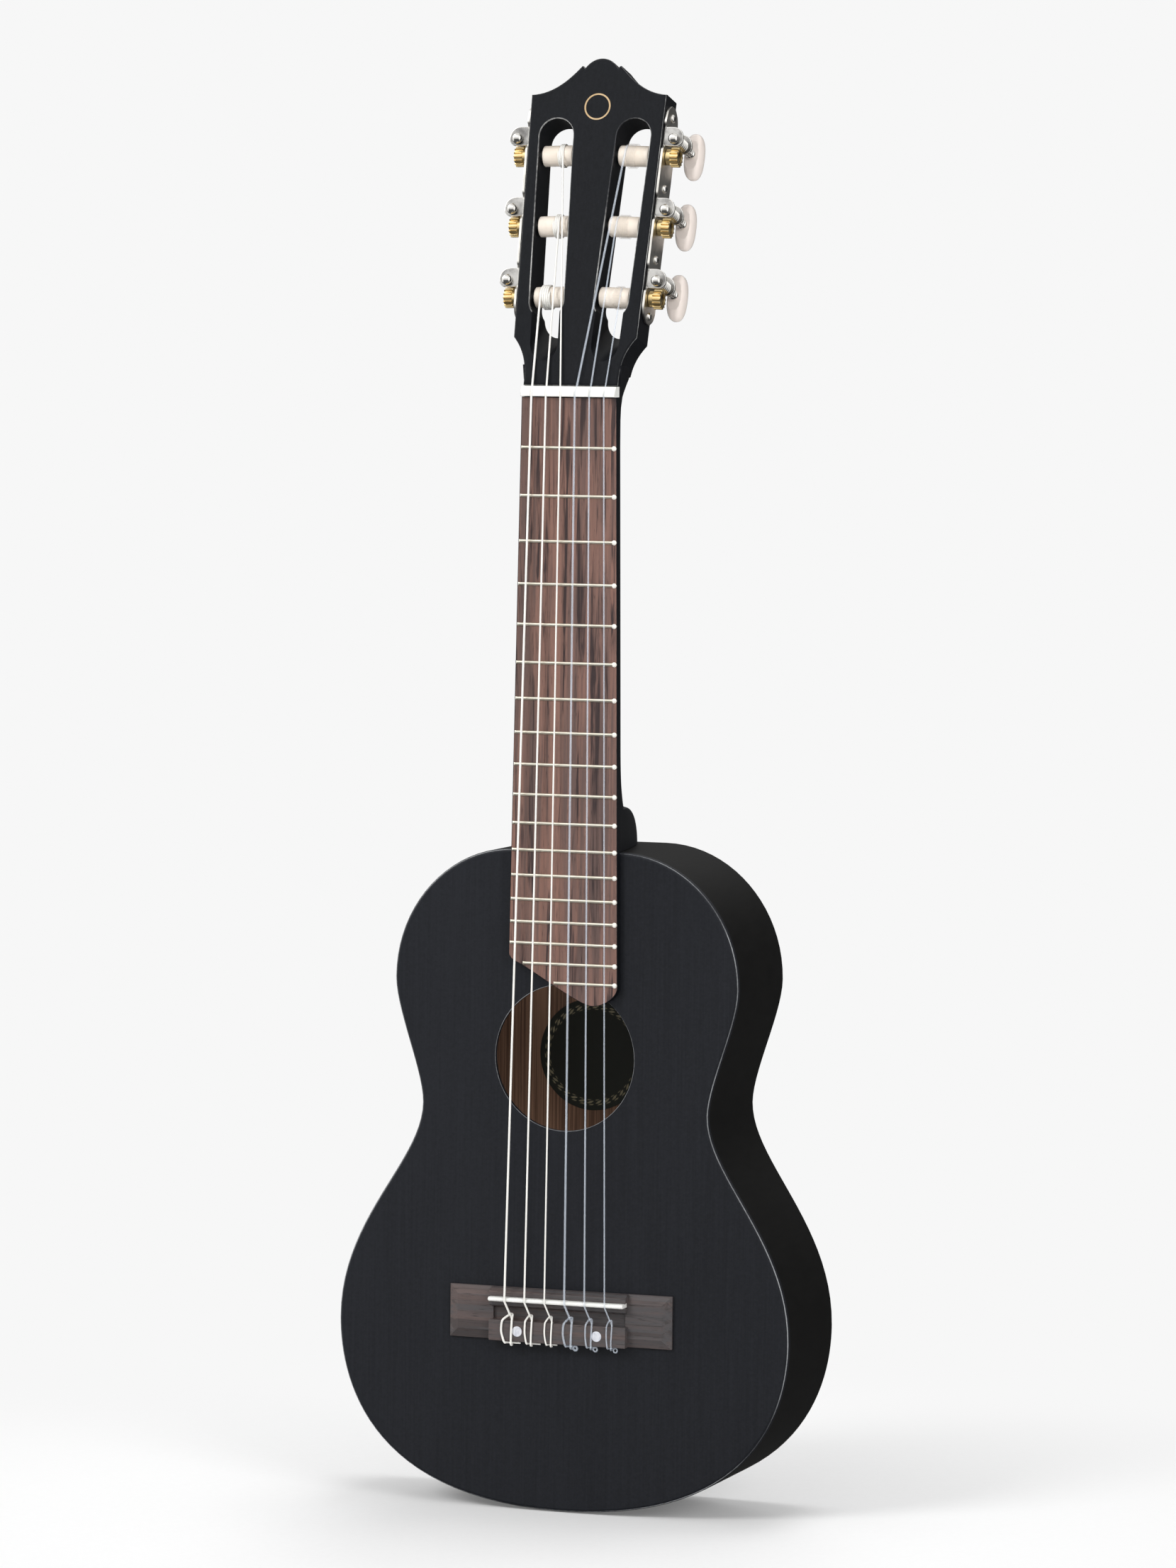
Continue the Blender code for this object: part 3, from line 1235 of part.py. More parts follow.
clear_scene()
PARTS = new_collection('guitalele')
CUTTERS = new_collection('cutters')
SPRUCE = new_material('black_satin_spruce', (0.022, 0.024, 0.028), 0.45)
MAHOGANY = new_material('black_satin_mahogany', (0.014, 0.014, 0.014), 0.4)
BLACK_NECK = new_material('black_neck_lacquer', (0.02, 0.021, 0.024), 0.42)
ROSEWOOD = new_material('rosewood_board', (0.24, 0.15, 0.12), 0.6)
ROSEWOOD_DARK = new_material('rosewood_bridge', (0.09, 0.055, 0.045), 0.55)
BONE = new_material('white_urea', (0.86, 0.86, 0.83), 0.35)
NICKEL = new_material('nickel', (0.62, 0.6, 0.57), 0.25, 1.0)
BRASS = new_material('brass', (0.75, 0.53, 0.22), 0.3, 1.0)
CREAM = new_material('cream_plastic', (0.76, 0.66, 0.6), 0.4)
TREBLE_NYLON = new_material('clear_nylon', (0.55, 0.6, 0.66), 0.25)
BASS_NYLON = new_material('white_nylon', (0.85, 0.84, 0.8), 0.35)
main()
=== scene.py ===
# %% [markdown]
# # A small nylon-string travel guitar
#
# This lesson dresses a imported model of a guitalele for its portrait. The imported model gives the
# bodies that move and the solids that collide. Here each solid that shows gets a finer twin made
# with Blender's own tools, and every surface gets a finish made of shader nodes.
#
# The frame is the model's own: +Z runs up the neck, -Y is the playing side, +X is the side of the
# thinnest string, and the origin is at the nut on the face of the fingerboard.

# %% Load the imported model
from math import asin, atan2, cos, pi, radians, sin, sqrt

import bmesh
import bpy
from mathutils import Matrix, Vector
from mathutils.geometry import interpolate_bezier


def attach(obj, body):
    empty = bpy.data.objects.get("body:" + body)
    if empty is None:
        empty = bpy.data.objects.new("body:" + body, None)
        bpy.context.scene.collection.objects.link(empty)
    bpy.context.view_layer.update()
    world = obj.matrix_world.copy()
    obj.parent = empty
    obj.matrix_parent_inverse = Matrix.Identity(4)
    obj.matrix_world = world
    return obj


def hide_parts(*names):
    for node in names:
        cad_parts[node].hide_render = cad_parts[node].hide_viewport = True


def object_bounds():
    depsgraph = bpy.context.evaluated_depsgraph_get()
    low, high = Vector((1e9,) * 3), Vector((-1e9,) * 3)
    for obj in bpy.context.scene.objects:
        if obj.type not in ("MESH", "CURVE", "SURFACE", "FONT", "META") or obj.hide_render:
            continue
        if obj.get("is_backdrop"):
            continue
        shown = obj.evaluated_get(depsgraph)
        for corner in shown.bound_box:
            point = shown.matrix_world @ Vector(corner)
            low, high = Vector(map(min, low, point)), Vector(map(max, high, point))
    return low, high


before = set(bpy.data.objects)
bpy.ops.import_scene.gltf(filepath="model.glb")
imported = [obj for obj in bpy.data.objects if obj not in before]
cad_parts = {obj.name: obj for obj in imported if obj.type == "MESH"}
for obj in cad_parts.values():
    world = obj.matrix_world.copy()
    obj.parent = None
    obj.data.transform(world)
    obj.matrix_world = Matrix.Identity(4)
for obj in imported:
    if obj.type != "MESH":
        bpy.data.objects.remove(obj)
CAD_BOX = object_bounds()
MM = 0.001


def mm(*values):
    """Millimetres in, metres out."""
    return tuple(value * MM for value in values)


def scaled(points):
    """Points given in millimetres, in metres."""
    return [mm(*point) for point in points]


# %% [markdown]
# ## The camera
#
# The photograph was taken from the front, about twenty degrees to the treble side and a little
# above the middle, with a long lens. The place and the turn of the camera were worked out from
# the frets, the nut, the saddle and the rollers, whose real places are known. A camera matrix is
# just three directions: right, up and backwards.

# %% Place the camera
YAW, PITCH, ROLL = 0.3397, -0.0688, 0.0115
SHOT_HEIGHT_PX = 2212
FOCAL_PX = 9389.08
CAMERA_PLACE = (1.06541, -2.98145, 0.03392)
SENSOR = 36.0


def photo_camera():
    ahead = Vector((-sin(YAW) * cos(PITCH), cos(YAW) * cos(PITCH), sin(PITCH)))
    level = Vector((cos(YAW), sin(YAW), 0))
    upright = level.cross(ahead)
    right = level * cos(ROLL) + upright * sin(ROLL)
    up = -level * sin(ROLL) + upright * cos(ROLL)
    data = bpy.data.cameras.new("portrait_camera")
    data.sensor_width = SENSOR
    data.lens = SENSOR * FOCAL_PX / SHOT_HEIGHT_PX
    camera = bpy.data.objects.new("portrait_camera", data)
    turn = Matrix((right, up, -ahead)).transposed().to_4x4()
    camera.matrix_world = Matrix.Translation(CAMERA_PLACE) @ turn
    bpy.context.scene.collection.objects.link(camera)
    bpy.context.scene.camera = camera
    return camera


camera = photo_camera()
print("lens", round(camera.data.lens, 1), "mm")

# %% [markdown]
# ## Arithmetic for shader nodes
#
# A node tree is easier to read as a formula. `Signal` wraps one output socket, and Python's own
# operators on it add Math nodes. `Finish` holds one material: its `node` method makes any other
# node, the methods below it name the few patterns that wood, lacquer and metal need, and `done`
# feeds the colour, the roughness and the fine relief that every finish has.

# %% Signals and finishes


def plug(tree, value, socket):
    """Link a signal to a socket, or set the socket to a plain value."""
    if isinstance(value, Signal):
        tree.links.new(value.socket, socket)
    else:
        socket.default_value = value


def operator(operation, swapped=False):
    """A Python operator that adds one Math node."""
    def method(self, other):
        return self.maths(operation, *((other, self) if swapped else (self, other)))
    return method


class Signal:
    """A number or colour that changes over a surface."""

    def __init__(self, tree, socket):
        self.tree = tree
        self.socket = socket

    def maths(self, operation, *values):
        node = self.tree.nodes.new("ShaderNodeMath")
        node.operation = operation
        for socket, value in zip(node.inputs, values):
            plug(self.tree, value, socket)
        return Signal(self.tree, node.outputs[0])

    __add__ = operator("ADD")
    __sub__, __rsub__ = operator("SUBTRACT"), operator("SUBTRACT", swapped=True)
    __mul__ = operator("MULTIPLY")
    __pow__ = operator("POWER")

    def step(self, low, high):
        """0 below low, 1 above high and a soft slope between them."""
        node = self.tree.nodes.new("ShaderNodeMapRange")
        node.interpolation_type = "SMOOTHSTEP"
        for name, value in (("Value", self), ("From Min", low), ("From Max", high)):
            plug(self.tree, value, node.inputs[name])
        return Signal(self.tree, node.outputs["Result"])


class Finish:
    """One material, written from the surface inwards."""

    def __init__(self, name, fixed):
        self.material = bpy.data.materials.new(name)
        self.material.use_nodes = True
        self.tree = self.material.node_tree
        self.shader = self.tree.nodes["Principled BSDF"]
        for socket, value in fixed.items():
            self.shader.inputs[socket].default_value = value

    def node(self, kind, sockets, output=0):
        node = self.tree.nodes.new("ShaderNode" + kind)
        for key, value in sockets.items():
            plug(self.tree, value, node.inputs[key])
        return Signal(self.tree, node.outputs[output])

    def place(self, repeats=(1, 1, 1), shift=(0, 0, 0)):
        """Object coordinates, with a pattern's repeats per metre along X, Y and Z."""
        spot = self.node("TexCoord", {}, "Object")
        return self.node("Mapping", {"Vector": spot, "Scale": repeats, "Location": shift})

    def even(self, repeats):
        return self.place((repeats,) * 3)

    def grain(self, across, along, way):
        """Repeats per metre across and along a grain that runs along X, Y or Z."""
        return self.place(tuple(along if axis == way else across for axis in "XYZ"))

    def noise(self, where, detail=3.0, roughness=0.5, distortion=0.0):
        return self.node("TexNoise", {"Vector": where, "Scale": 1.0, "Detail": detail,
                                      "Roughness": roughness, "Distortion": distortion})

    def axis(self, where, name):
        return self.node("SeparateXYZ", {"Vector": where}, name)

    def blend(self, amount, first, second):
        """Two colours mixed by a signal."""
        node = self.tree.nodes.new("ShaderNodeMix")
        node.data_type = "RGBA"
        plug(self.tree, amount, node.inputs["Factor"])
        places = [socket for socket in node.inputs if socket.type == "RGBA"]
        for socket, colour in zip(places, (first, second)):
            plug(self.tree, colour if isinstance(colour, Signal) else (*colour, 1), socket)
        return Signal(self.tree, [s for s in node.outputs if s.type == "RGBA"][0])

    def done(self, colour, roughness, height, depth, strength):
        """Feed the shader and hand over the material; depth is the relief's, in metres."""
        bump = self.node("Bump", {"Height": height, "Distance": depth, "Strength": strength})
        for name, signal in (("Base Color", colour), ("Roughness", roughness), ("Normal", bump)):
            plug(self.tree, signal, self.shader.inputs[name])
        return self.material


print("shader tools ready")

# %% [markdown]
# ## The finishes
#
# The body, the neck and the head are sprayed with satin black lacquer over open grain. Under a
# soft light it is nearly flat grey-black, with a faint long grain and a broad cloudiness where the
# spray lay thicker. The recipe is a function, and the pores' repeats along X, Y and Z turn the
# grain. The edges have a thin paler line, partly wear from rubbing and partly a painted highlight.

# %% Black lacquer, and its edge with wear and a painted highlight


def lacquer(name, shade, repeats, gloss, specular):
    """Satin black over wood, with open pores, a broad cloudiness and fine specks."""
    finish = Finish(name, {"Specular IOR Level": specular})
    pores = finish.noise(finish.place(repeats), detail=4.0, roughness=0.6)
    cloud = finish.noise(finish.place((7, 7, 4)), detail=2.0)
    speck = finish.noise(finish.even(900), detail=1.0)
    amount = (pores * 0.45 + cloud * 0.4 + speck * 0.35).step(0.35, 0.85)
    light = tuple(c * 1.6 + 0.0015 for c in shade)
    return finish.done(finish.blend(amount, shade, light),
                       cloud * 0.12 + speck * 0.06 + (gloss - 0.09),
                       pores * 0.6 + speck * 0.4, 0.04 * MM, 0.35)


def edge_wear_and_highlight(name, shade, worn_and_highlight):
    """Lacquer polished thin along an edge, paler in uneven stretches; the paler colour is also a
    painted highlight.
    """
    finish = Finish(name, {"Specular IOR Level": 0.5})
    stretch = finish.noise(finish.even(14), roughness=0.55)
    fine = finish.noise(finish.even(500), detail=2.0)
    amount = (stretch * 0.85 + fine * 0.15).step(0.36, 0.66)
    return finish.done(finish.blend(amount, shade, worn_and_highlight), fine * 0.15 + 0.2, fine, 0.02 * MM, 0.3)


TOP_BLACK = lacquer("black_top_lacquer", (0.0076, 0.0084, 0.0109), (950, 950, 16), 0.42, 0.2)
SIDE_BLACK = lacquer("black_side_lacquer", (0.0036, 0.0035, 0.0033), (700, 60, 60), 0.4, 0.08)
NECK_BLACK = lacquer("black_neck_lacquer", (0.0046, 0.0052, 0.0066), (800, 800, 22), 0.42, 0.125)
# The edges' paler colour is partly wear and partly a painted highlight line along the rounding.
TOP_EDGE = edge_wear_and_highlight("top_edge_wear_and_highlight", (0.04, 0.042, 0.047), (0.28, 0.29, 0.3))
HEAD_EDGE = edge_wear_and_highlight("head_edge_wear_and_highlight", (0.02, 0.021, 0.024), (0.64, 0.64, 0.62))
print("black finishes:", TOP_BLACK.name, SIDE_BLACK.name, NECK_BLACK.name)

# %% [markdown]
# Rosewood is a warm brown with long dark streaks and short open pores. A noise texture becomes
# grain when it is squeezed across the wood and stretched along it. The fingerboard's grain runs
# along the neck, the bridge's runs across the body, and the wood seen inside the body has narrow
# straight ribbons.

# %% Bare woods


def rosewood(name, dark, middle, warm, way, gloss=0.5, streaky=1.0):
    """Streaked wood, with its grain along X, Y or Z."""
    finish = Finish(name, {"Specular IOR Level": 0.3})
    drift = finish.noise(finish.grain(70, 6, way), detail=2.0)
    streaks = finish.noise(finish.grain(230, 11, way), detail=4.0, roughness=0.62, distortion=1.1)
    lines = finish.noise(finish.grain(520, 14, way), roughness=0.55, distortion=0.3)
    pores = finish.noise(finish.grain(2600, 130, way), detail=2.0, roughness=0.7)
    body = finish.blend((drift * 0.5 + lines * 0.5).step(0.4, 0.62), middle, warm)
    lined = finish.blend((streaks * 0.65 + lines * 0.35).step(0.5, 0.6) * streaky, body, dark)
    open_grain = pores.step(0.58, 0.72)
    return finish.done(finish.blend(open_grain * 0.7, lined, tuple(c * 0.45 for c in dark)),
                       streaks * 0.2 + open_grain * 0.15 + (gloss - 0.12),
                       1 - open_grain, 0.06 * MM, 0.5)


def ribbon_wood(name, dark, light, way):
    """Quarter-sawn wood with straight narrow ribbons, left bare inside the body."""
    finish = Finish(name, {"Specular IOR Level": 0.25})
    ribbons = finish.noise(finish.grain(1150, 9, way), roughness=0.55)
    broad = finish.noise(finish.grain(60, 3, way), detail=1.0)
    pores = finish.noise(finish.grain(2200, 90, way), detail=2.0)
    amount = (ribbons * 0.8 + broad * 0.2).step(0.38, 0.62)
    grained = finish.blend(amount, dark, light)
    return finish.done(finish.blend(pores.step(0.6, 0.75) * 0.6, grained, dark),
                       ribbons * 0.15 + 0.55, pores, 0.05 * MM, 0.4)


BOARD_WOOD = rosewood("fingerboard_rosewood", (0.042, 0.028, 0.028), (0.118, 0.076, 0.067),
                      (0.23, 0.125, 0.098), "Z")
BRIDGE_WOOD = rosewood("bridge_rosewood", (0.034, 0.032, 0.033), (0.07, 0.066, 0.068),
                       (0.1, 0.074, 0.069), "X", 0.5, 0.6)
INSIDE_WOOD = ribbon_wood("inside_ribbon_wood", (0.059, 0.033, 0.022), (0.134, 0.078, 0.052), "Z")
BRACE_WOOD = ribbon_wood("brace_spruce", (0.36, 0.24, 0.13), (0.5, 0.37, 0.22), "X")
INSIDE_TOP = ribbon_wood("inside_spruce", (0.33, 0.22, 0.12), (0.46, 0.33, 0.19), "Z")
BLOCK_WOOD = ribbon_wood("block_mahogany", (0.1, 0.05, 0.028), (0.2, 0.11, 0.06), "Y")
print("woods:", BOARD_WOOD.name, BRIDGE_WOOD.name, INSIDE_WOOD.name)

# %% [markdown]
# The metal is bright nickel and turned brass. Metals need little colour work: their look comes
# from roughness that changes a little from place to place, and from fine scratches. The plastics
# are cream: the rollers are plain, and the buttons are a touch pink with a faint pearly cloud.

# %% Metals and plastics


def metal(name, colour, shade, rough, scratches=(1500, 1500, 160), whole=1.0):
    """Bare metal; whole below 1 makes part of the face matt, so that the lamps light it: a painted
    highlight.
    """
    finish = Finish(name, {"Metallic": whole})
    smudge = finish.noise(finish.even(160))
    lines = finish.noise(finish.place(scratches), roughness=0.7)
    return finish.done(finish.blend(smudge.step(0.35, 0.75), colour, shade),
                       smudge * 0.14 + lines * 0.1 + (rough - 0.12), lines, 0.02 * MM, 0.25)


def plastic(name, colour, shade, rough, repeats=130, swirl=0.6, specular=0.45, coat=0.0):
    finish = Finish(name, {"Specular IOR Level": specular, "Coat Weight": coat})
    cloud = finish.noise(finish.place((repeats, repeats, repeats * 0.6)), distortion=swirl)
    fine = finish.noise(finish.even(1200), detail=1.0)
    return finish.done(finish.blend(cloud.step(0.35, 0.7), colour, shade),
                       fine * 0.08 + cloud * 0.08 + (rough - 0.08), fine, 0.01 * MM, 0.3)


NICKEL = metal("bright_nickel", (0.84, 0.82, 0.78), (0.7, 0.68, 0.64), 0.17)
EAR_NICKEL = metal("pressed_ear_nickel", (0.5, 0.49, 0.47), (0.17, 0.165, 0.16), 0.24,
                   (500, 500, 500))
PLATE_NICKEL = metal("stamped_plate_nickel", (0.8, 0.78, 0.73), (0.6, 0.58, 0.54), 0.34,
                     (900, 900, 900))
# The fret wire is a little matt and its filed ends mostly matt near-white, so that the lamps light
# them: a painted highlight on the crowns and a painted glint on the ends.
FRET_NICKEL = metal("fret_nickel_silver", (0.88, 0.84, 0.72), (0.78, 0.74, 0.61), 0.32,
                    (160, 1500, 1500), 0.85)
FRET_END_GLINT = metal("fret_end_painted_glint", (1.0, 0.97, 0.9), (0.95, 0.92, 0.84), 0.55, whole=0.3)
BRASS = metal("turned_brass", (0.92, 0.72, 0.38), (0.8, 0.58, 0.26), 0.32, (160, 1500, 1500))
GILT = metal("gilt_inlay", (0.62, 0.46, 0.28), (0.54, 0.39, 0.22), 0.5)
# Dark screws in the gears' ends; on the plate's screw heads the same dark paints the shade of the
# cross recess.
DARK_SCREW_AND_RECESS_SHADE = metal("dark_screw_and_recess_shade", (0.05, 0.05, 0.055), (0.025, 0.025, 0.028), 0.35)
ROLLER_CREAM = plastic("roller_cream", (0.84, 0.76, 0.67), (0.77, 0.68, 0.58), 0.35)
BUTTON_CREAM = plastic("button_pink_cream", (0.95, 0.85, 0.785), (0.9, 0.8, 0.735), 0.22, 90, 1.4,
                       specular=0.5, coat=0.3)
WHITE_PLASTIC = plastic("white_nut_plastic", (0.88, 0.88, 0.85), (0.8, 0.8, 0.76), 0.28)
PEARL = plastic("pearl_dot", (0.66, 0.67, 0.71), (0.5, 0.52, 0.58), 0.2, 420, 2.0)
print("metals and plastics:", NICKEL.name, BRASS.name, ROLLER_CREAM.name, BUTTON_CREAM.name)

# %% [markdown]
# The three treble strings are clear nylon. Over the black body it shows a blue-grey sheen, which
# is painted in as a pale blue-grey colour on a string that is mostly see-through. Wound on the
# cream rollers it nearly vanishes, so the windings have a clearer, creamier twin of the same
# finish. The three basses are wrapped with fine pale wire.
# The wrap is far finer than a pixel, so it is a bump, a sine of the height along the neck, and
# the same sine makes the colour darker in the grooves between the turns: painted shade.

# %% String finishes and the label
WIRE_WRAP = 0.28 * MM


def clear_nylon(name, colour, bright, alpha):
    finish = Finish(name, {"Specular IOR Level": 0.7, "Alpha": alpha})
    cloud = finish.noise(finish.place((300, 300, 30)), detail=2.0)
    return finish.done(finish.blend(cloud, colour, bright), cloud * 0.1 + 0.12, cloud,
                       0.01 * MM, 0.2)


def wrapped_wire():
    finish = Finish("wrapped_bass_wire", {"Specular IOR Level": 0.6})
    angle = finish.axis(finish.place(), "Z") * (2 * pi / WIRE_WRAP)
    turns = angle.maths("SINE", angle)
    cloud = finish.noise(finish.place((300, 300, 40)), detail=2.0)
    # Darker colour in the wrap's grooves and paler on its crests: painted shade.
    return finish.done(finish.blend(turns.step(-0.9, 0.4), (0.78, 0.76, 0.71), (0.95, 0.94, 0.9)),
                       cloud * 0.15 + 0.25, turns, 0.03 * MM, 0.5)


def label_paper(centre, radius):
    """A dark round paper with a ring of small pale curls."""
    finish = Finish("round_label_paper", {"Specular IOR Level": 0.3})
    spot = finish.place(shift=(-centre[0], 0, -centre[1]))
    across, height = finish.axis(spot, "X"), finish.axis(spot, "Z")
    reach = (across * across + height * height) ** 0.5
    curls = across.maths("ARCTAN2", height, across) * 34.0
    beat = curls.maths("SINE", curls)
    ripple = curls.maths("COSINE", reach * (2 * pi / (0.058 * radius)) + curls)
    ring = reach.step(0.8 * radius, 0.82 * radius) * (1 - reach.step(0.9 * radius, 0.92 * radius))
    mark = ring * (beat * 0.5 + ripple * 0.5).step(0.0, 0.3)
    fibre = finish.noise(finish.even(900))
    paper = finish.blend(fibre, (0.006, 0.007, 0.006), (0.014, 0.015, 0.012))
    return finish.done(finish.blend(mark * 0.85, paper, (0.14, 0.124, 0.08)),
                       fibre * 0.2 + 0.5, fibre, 0.02 * MM, 0.3)


# The pale blue-grey of the clear nylon is a painted sheen.
CLEAR_NYLON = clear_nylon("clear_nylon", (0.68, 0.75, 0.86), (0.8, 0.86, 0.94), 0.3)
WOUND_NYLON = clear_nylon("wound_nylon", (0.85, 0.8, 0.73), (0.93, 0.88, 0.82), 0.16)
BASS_WIRE = wrapped_wire()
LABEL_CENTRE = mm(-9.2, -321.6)
LABEL_RADIUS = 27.4 * MM
LABEL_PAPER = label_paper(LABEL_CENTRE, LABEL_RADIUS)
print("strings and label:", CLEAR_NYLON.name, BASS_WIRE.name, LABEL_PAPER.name)

# %% [markdown]
# ## Tools for shapes
#
# Nearly every piece here is one of two kinds. A plate, such as the soundboard, is an outline with
# thickness and rounded edges. A run, such as the neck, is a ring that changes as it moves along.
# Both grow by extruding a ring of edges and moving the new vertices, so one helper serves them.

# %% Rings, runs and plates
SHARPEST_MITRE = 0.45


def neighbours(loop):
    """The pairs of neighbours round a closed loop."""
    return list(zip(loop, loop[1:] + loop[:1]))


def corners(loop):
    """Each point of a closed loop between its neighbours, as vectors."""
    count = len(loop)
    return [[Vector(loop[(i + k) % count]) for k in (-1, 0, 1)] for i in range(count)]


def new_ring(bm, places):
    ring = [bm.verts.new(place) for place in places]
    for pair in neighbours(ring):
        bm.edges.new(pair)
    return ring


def ring_edges(bm, ring):
    return [bm.edges.get(pair) for pair in neighbours(ring)]


def paint(items, material):
    """Give a material to the faces among some parts of a mesh."""
    for item in items:
        if isinstance(item, bmesh.types.BMFace):
            item.material_index = material


def grow(bm, ring, places, material=0):
    """Extrude a ring of edges and move the new ring to its places."""
    made = bmesh.ops.extrude_edge_only(bm, edges=ring_edges(bm, ring))["geom"]
    paint(made, material)
    fresh = {v.co.to_tuple(7): v for v in made if isinstance(v, bmesh.types.BMVert)}
    following = [fresh[v.co.to_tuple(7)] for v in ring]
    for vert, place in zip(following, places):
        vert.co = place
    return following


def run(bm, rings):
    """A solid that passes through the rings in turn, with flat ends."""
    first = ring = new_ring(bm, rings[0])
    for places in rings[1:]:
        ring = grow(bm, ring, places)
    for end in (first, ring):
        bm.faces.new(end)


def turning(loop):
    """1 for a loop that runs anticlockwise, -1 for one that runs clockwise."""
    return 1 if sum(a[0] * b[1] - b[0] * a[1] for a, b in neighbours(loop)) > 0 else -1


def moved_in(loop, amount):
    """The loop moved to its left by the amount, with its corners mitred."""
    if amount == 0:
        return loop
    moved = []
    for before, here, after in corners(loop):
        first, second = (here - before).normalized(), (after - here).normalized()
        left = Vector((-first.y - second.y, first.x + second.x)).normalized()
        square = max(left.dot(Vector((-second.y, second.x))), SHARPEST_MITRE)
        moved.append(tuple(here + left * amount / square))
    return moved


def edge_levels(front, rear, front_round, rear_round, steps):
    """How far in, and how deep, each ring of a plate's edge lies: the front's and the rear's."""
    turns = [pi / 2 * i / steps for i in range(steps + 1)]
    levels = [(front_round * (1 - sin(a)), front + front_round * (1 - cos(a))) for a in turns]
    back = [(rear_round * (1 - cos(a)), rear - rear_round * (1 - sin(a))) for a in turns]
    return levels if front_round else [(0, front)], back if rear_round else [(0, rear)]


def plate(bm, outline, holes, front, rear, front_round=0.0, rear_round=0.0, steps=3,
          edge=None, face=0, rear_face=0, wall=0, hole_round=None):
    """A flat piece with rounded edges, from outlines in X and Z, with its depth along Y.

    The edge material, partly wear and partly a painted highlight, goes on a narrow band halfway
    round the front rounding, where a highlight would fall, and on most of a hole's rounding.
    """
    fronts, rears = [], []
    for loop, sign in [(outline, 1)] + [(hole, -1) for hole in holes]:
        rounds = (front_round, rear_round)
        if sign < 0 and hole_round is not None:
            rounds = (hole_round, hole_round)
        levels, back = edge_levels(front, rear, *rounds, steps)
        # The edge colour, wear and a painted highlight, goes on these rounding steps.
        wear_and_highlight_steps = range(2, len(levels)) if sign < 0 else (steps // 2 + 1,)
        rings = [[(x, depth, z) for x, z in moved_in(loop, sign * turning(loop) * inset)]
                 for inset, depth in levels + back]
        ring = new_ring(bm, rings[0])
        fronts += ring_edges(bm, ring)
        for number, places in enumerate(rings[1:], 1):
            lit = edge is not None and number in wear_and_highlight_steps
            ring = grow(bm, ring, places, edge if lit else wall)
        rears += ring_edges(bm, ring)
    for edges, material in ((fronts, face), (rears, rear_face)):
        filled = bmesh.ops.triangle_fill(bm, edges=edges, use_beauty=True, use_dissolve=False)
        paint(filled["geom"], material)


def turned(bm, profile, steps, matrix=None, material=0):
    """A profile of radius and height in mm, spun once round Z and closed at its ends."""
    old_verts, old_faces = set(bm.verts), set(bm.faces)
    points = [bm.verts.new((radius, 0, height)) for radius, height in scaled(profile)]
    edges = [bm.edges.new(pair) for pair in zip(points, points[1:])]
    bmesh.ops.spin(bm, geom=points + edges, cent=(0, 0, 0), axis=(0, 0, 1), angle=2 * pi,
                   steps=steps, use_merge=True)
    fresh = [v for v in bm.verts if v not in old_verts]
    bmesh.ops.remove_doubles(bm, verts=fresh, dist=0.002 * MM)
    if matrix:
        fresh = [v for v in bm.verts if v not in old_verts]
        bmesh.ops.transform(bm, matrix=matrix, verts=fresh)
    paint(set(bm.faces) - old_faces, material)


def block(bm, low, high, rounding=0.0, matrix=None, material=0):
    """A box with its edges eased."""
    low, high = Vector(low), Vector(high)
    made = bmesh.ops.create_cube(bm, size=1.0)["verts"]
    bmesh.ops.scale(bm, vec=high - low, verts=made)
    bmesh.ops.translate(bm, vec=(low + high) / 2, verts=made)
    if matrix:
        bmesh.ops.transform(bm, matrix=matrix, verts=made)
    paint({f for v in made for f in v.link_faces}, material)
    if rounding:
        edges = list({e for v in made for e in v.link_edges})
        bmesh.ops.bevel(bm, geom=edges, offset=rounding, offset_type="OFFSET", segments=2,
                        profile=0.5, affect="EDGES", material=-1)


def cut_off(bm, height, way):
    """Cut away what lies above a height when way is 1, or below it when way is -1."""
    bmesh.ops.bisect_plane(bm, geom=bm.verts[:] + bm.edges[:] + bm.faces[:],
                           plane_co=(0, 0, height), plane_no=(0, 0, way), clear_outer=True)


def close_holes(bm):
    rims = [edge for edge in bm.edges if len(edge.link_faces) == 1]
    bmesh.ops.holes_fill(bm, edges=rims, sides=0)


def absorb(bm, part):
    """Add another bmesh's shapes, with their normals outward."""
    bmesh.ops.recalc_face_normals(part, faces=part.faces)
    holder = bpy.data.meshes.new("part")
    part.to_mesh(holder)
    part.free()
    bm.from_mesh(holder)
    bpy.data.meshes.remove(holder)


print("shape tools ready")

# %% [markdown]
# A finished piece needs its normals outward, smooth shading with crisp creases, its materials, and
# a body to ride on. Weighted normals keep large flat faces flat right up to their rounded edges.
# One function does this for every piece. The second one cuts or joins two meshes with a Boolean
# modifier and bakes the result at once.

# %% Finish a piece and place it on its body
MADE = []


def mesh_object(name, bm, finishes):
    mesh = bpy.data.meshes.new(name)
    for finish in finishes:
        mesh.materials.append(finish)
    bmesh.ops.recalc_face_normals(bm, faces=bm.faces)
    bm.to_mesh(mesh)
    bm.free()
    made = bpy.data.objects.new(name, mesh)
    bpy.context.scene.collection.objects.link(made)
    return made


def piece(name, bm, finishes, body, stands_for, matrix=None, crease=35):
    """Turn a bmesh into a finished piece that rides on a body and stands for CAD nodes."""
    if matrix:
        bm.transform(matrix)
    bmesh.ops.remove_doubles(bm, verts=bm.verts, dist=0.0005 * MM)
    return dress(mesh_object(name, bm, finishes), body, stands_for, crease)


def dress(made, body, stands_for, crease=35):
    made.data.shade_smooth()
    made.data.set_sharp_from_angle(angle=radians(crease))
    weights = made.modifiers.new("even_normals", "WEIGHTED_NORMAL")
    weights.keep_sharp = True
    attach(made, body)
    if stands_for:
        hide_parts(*stands_for)
    MADE.append(made)
    return made


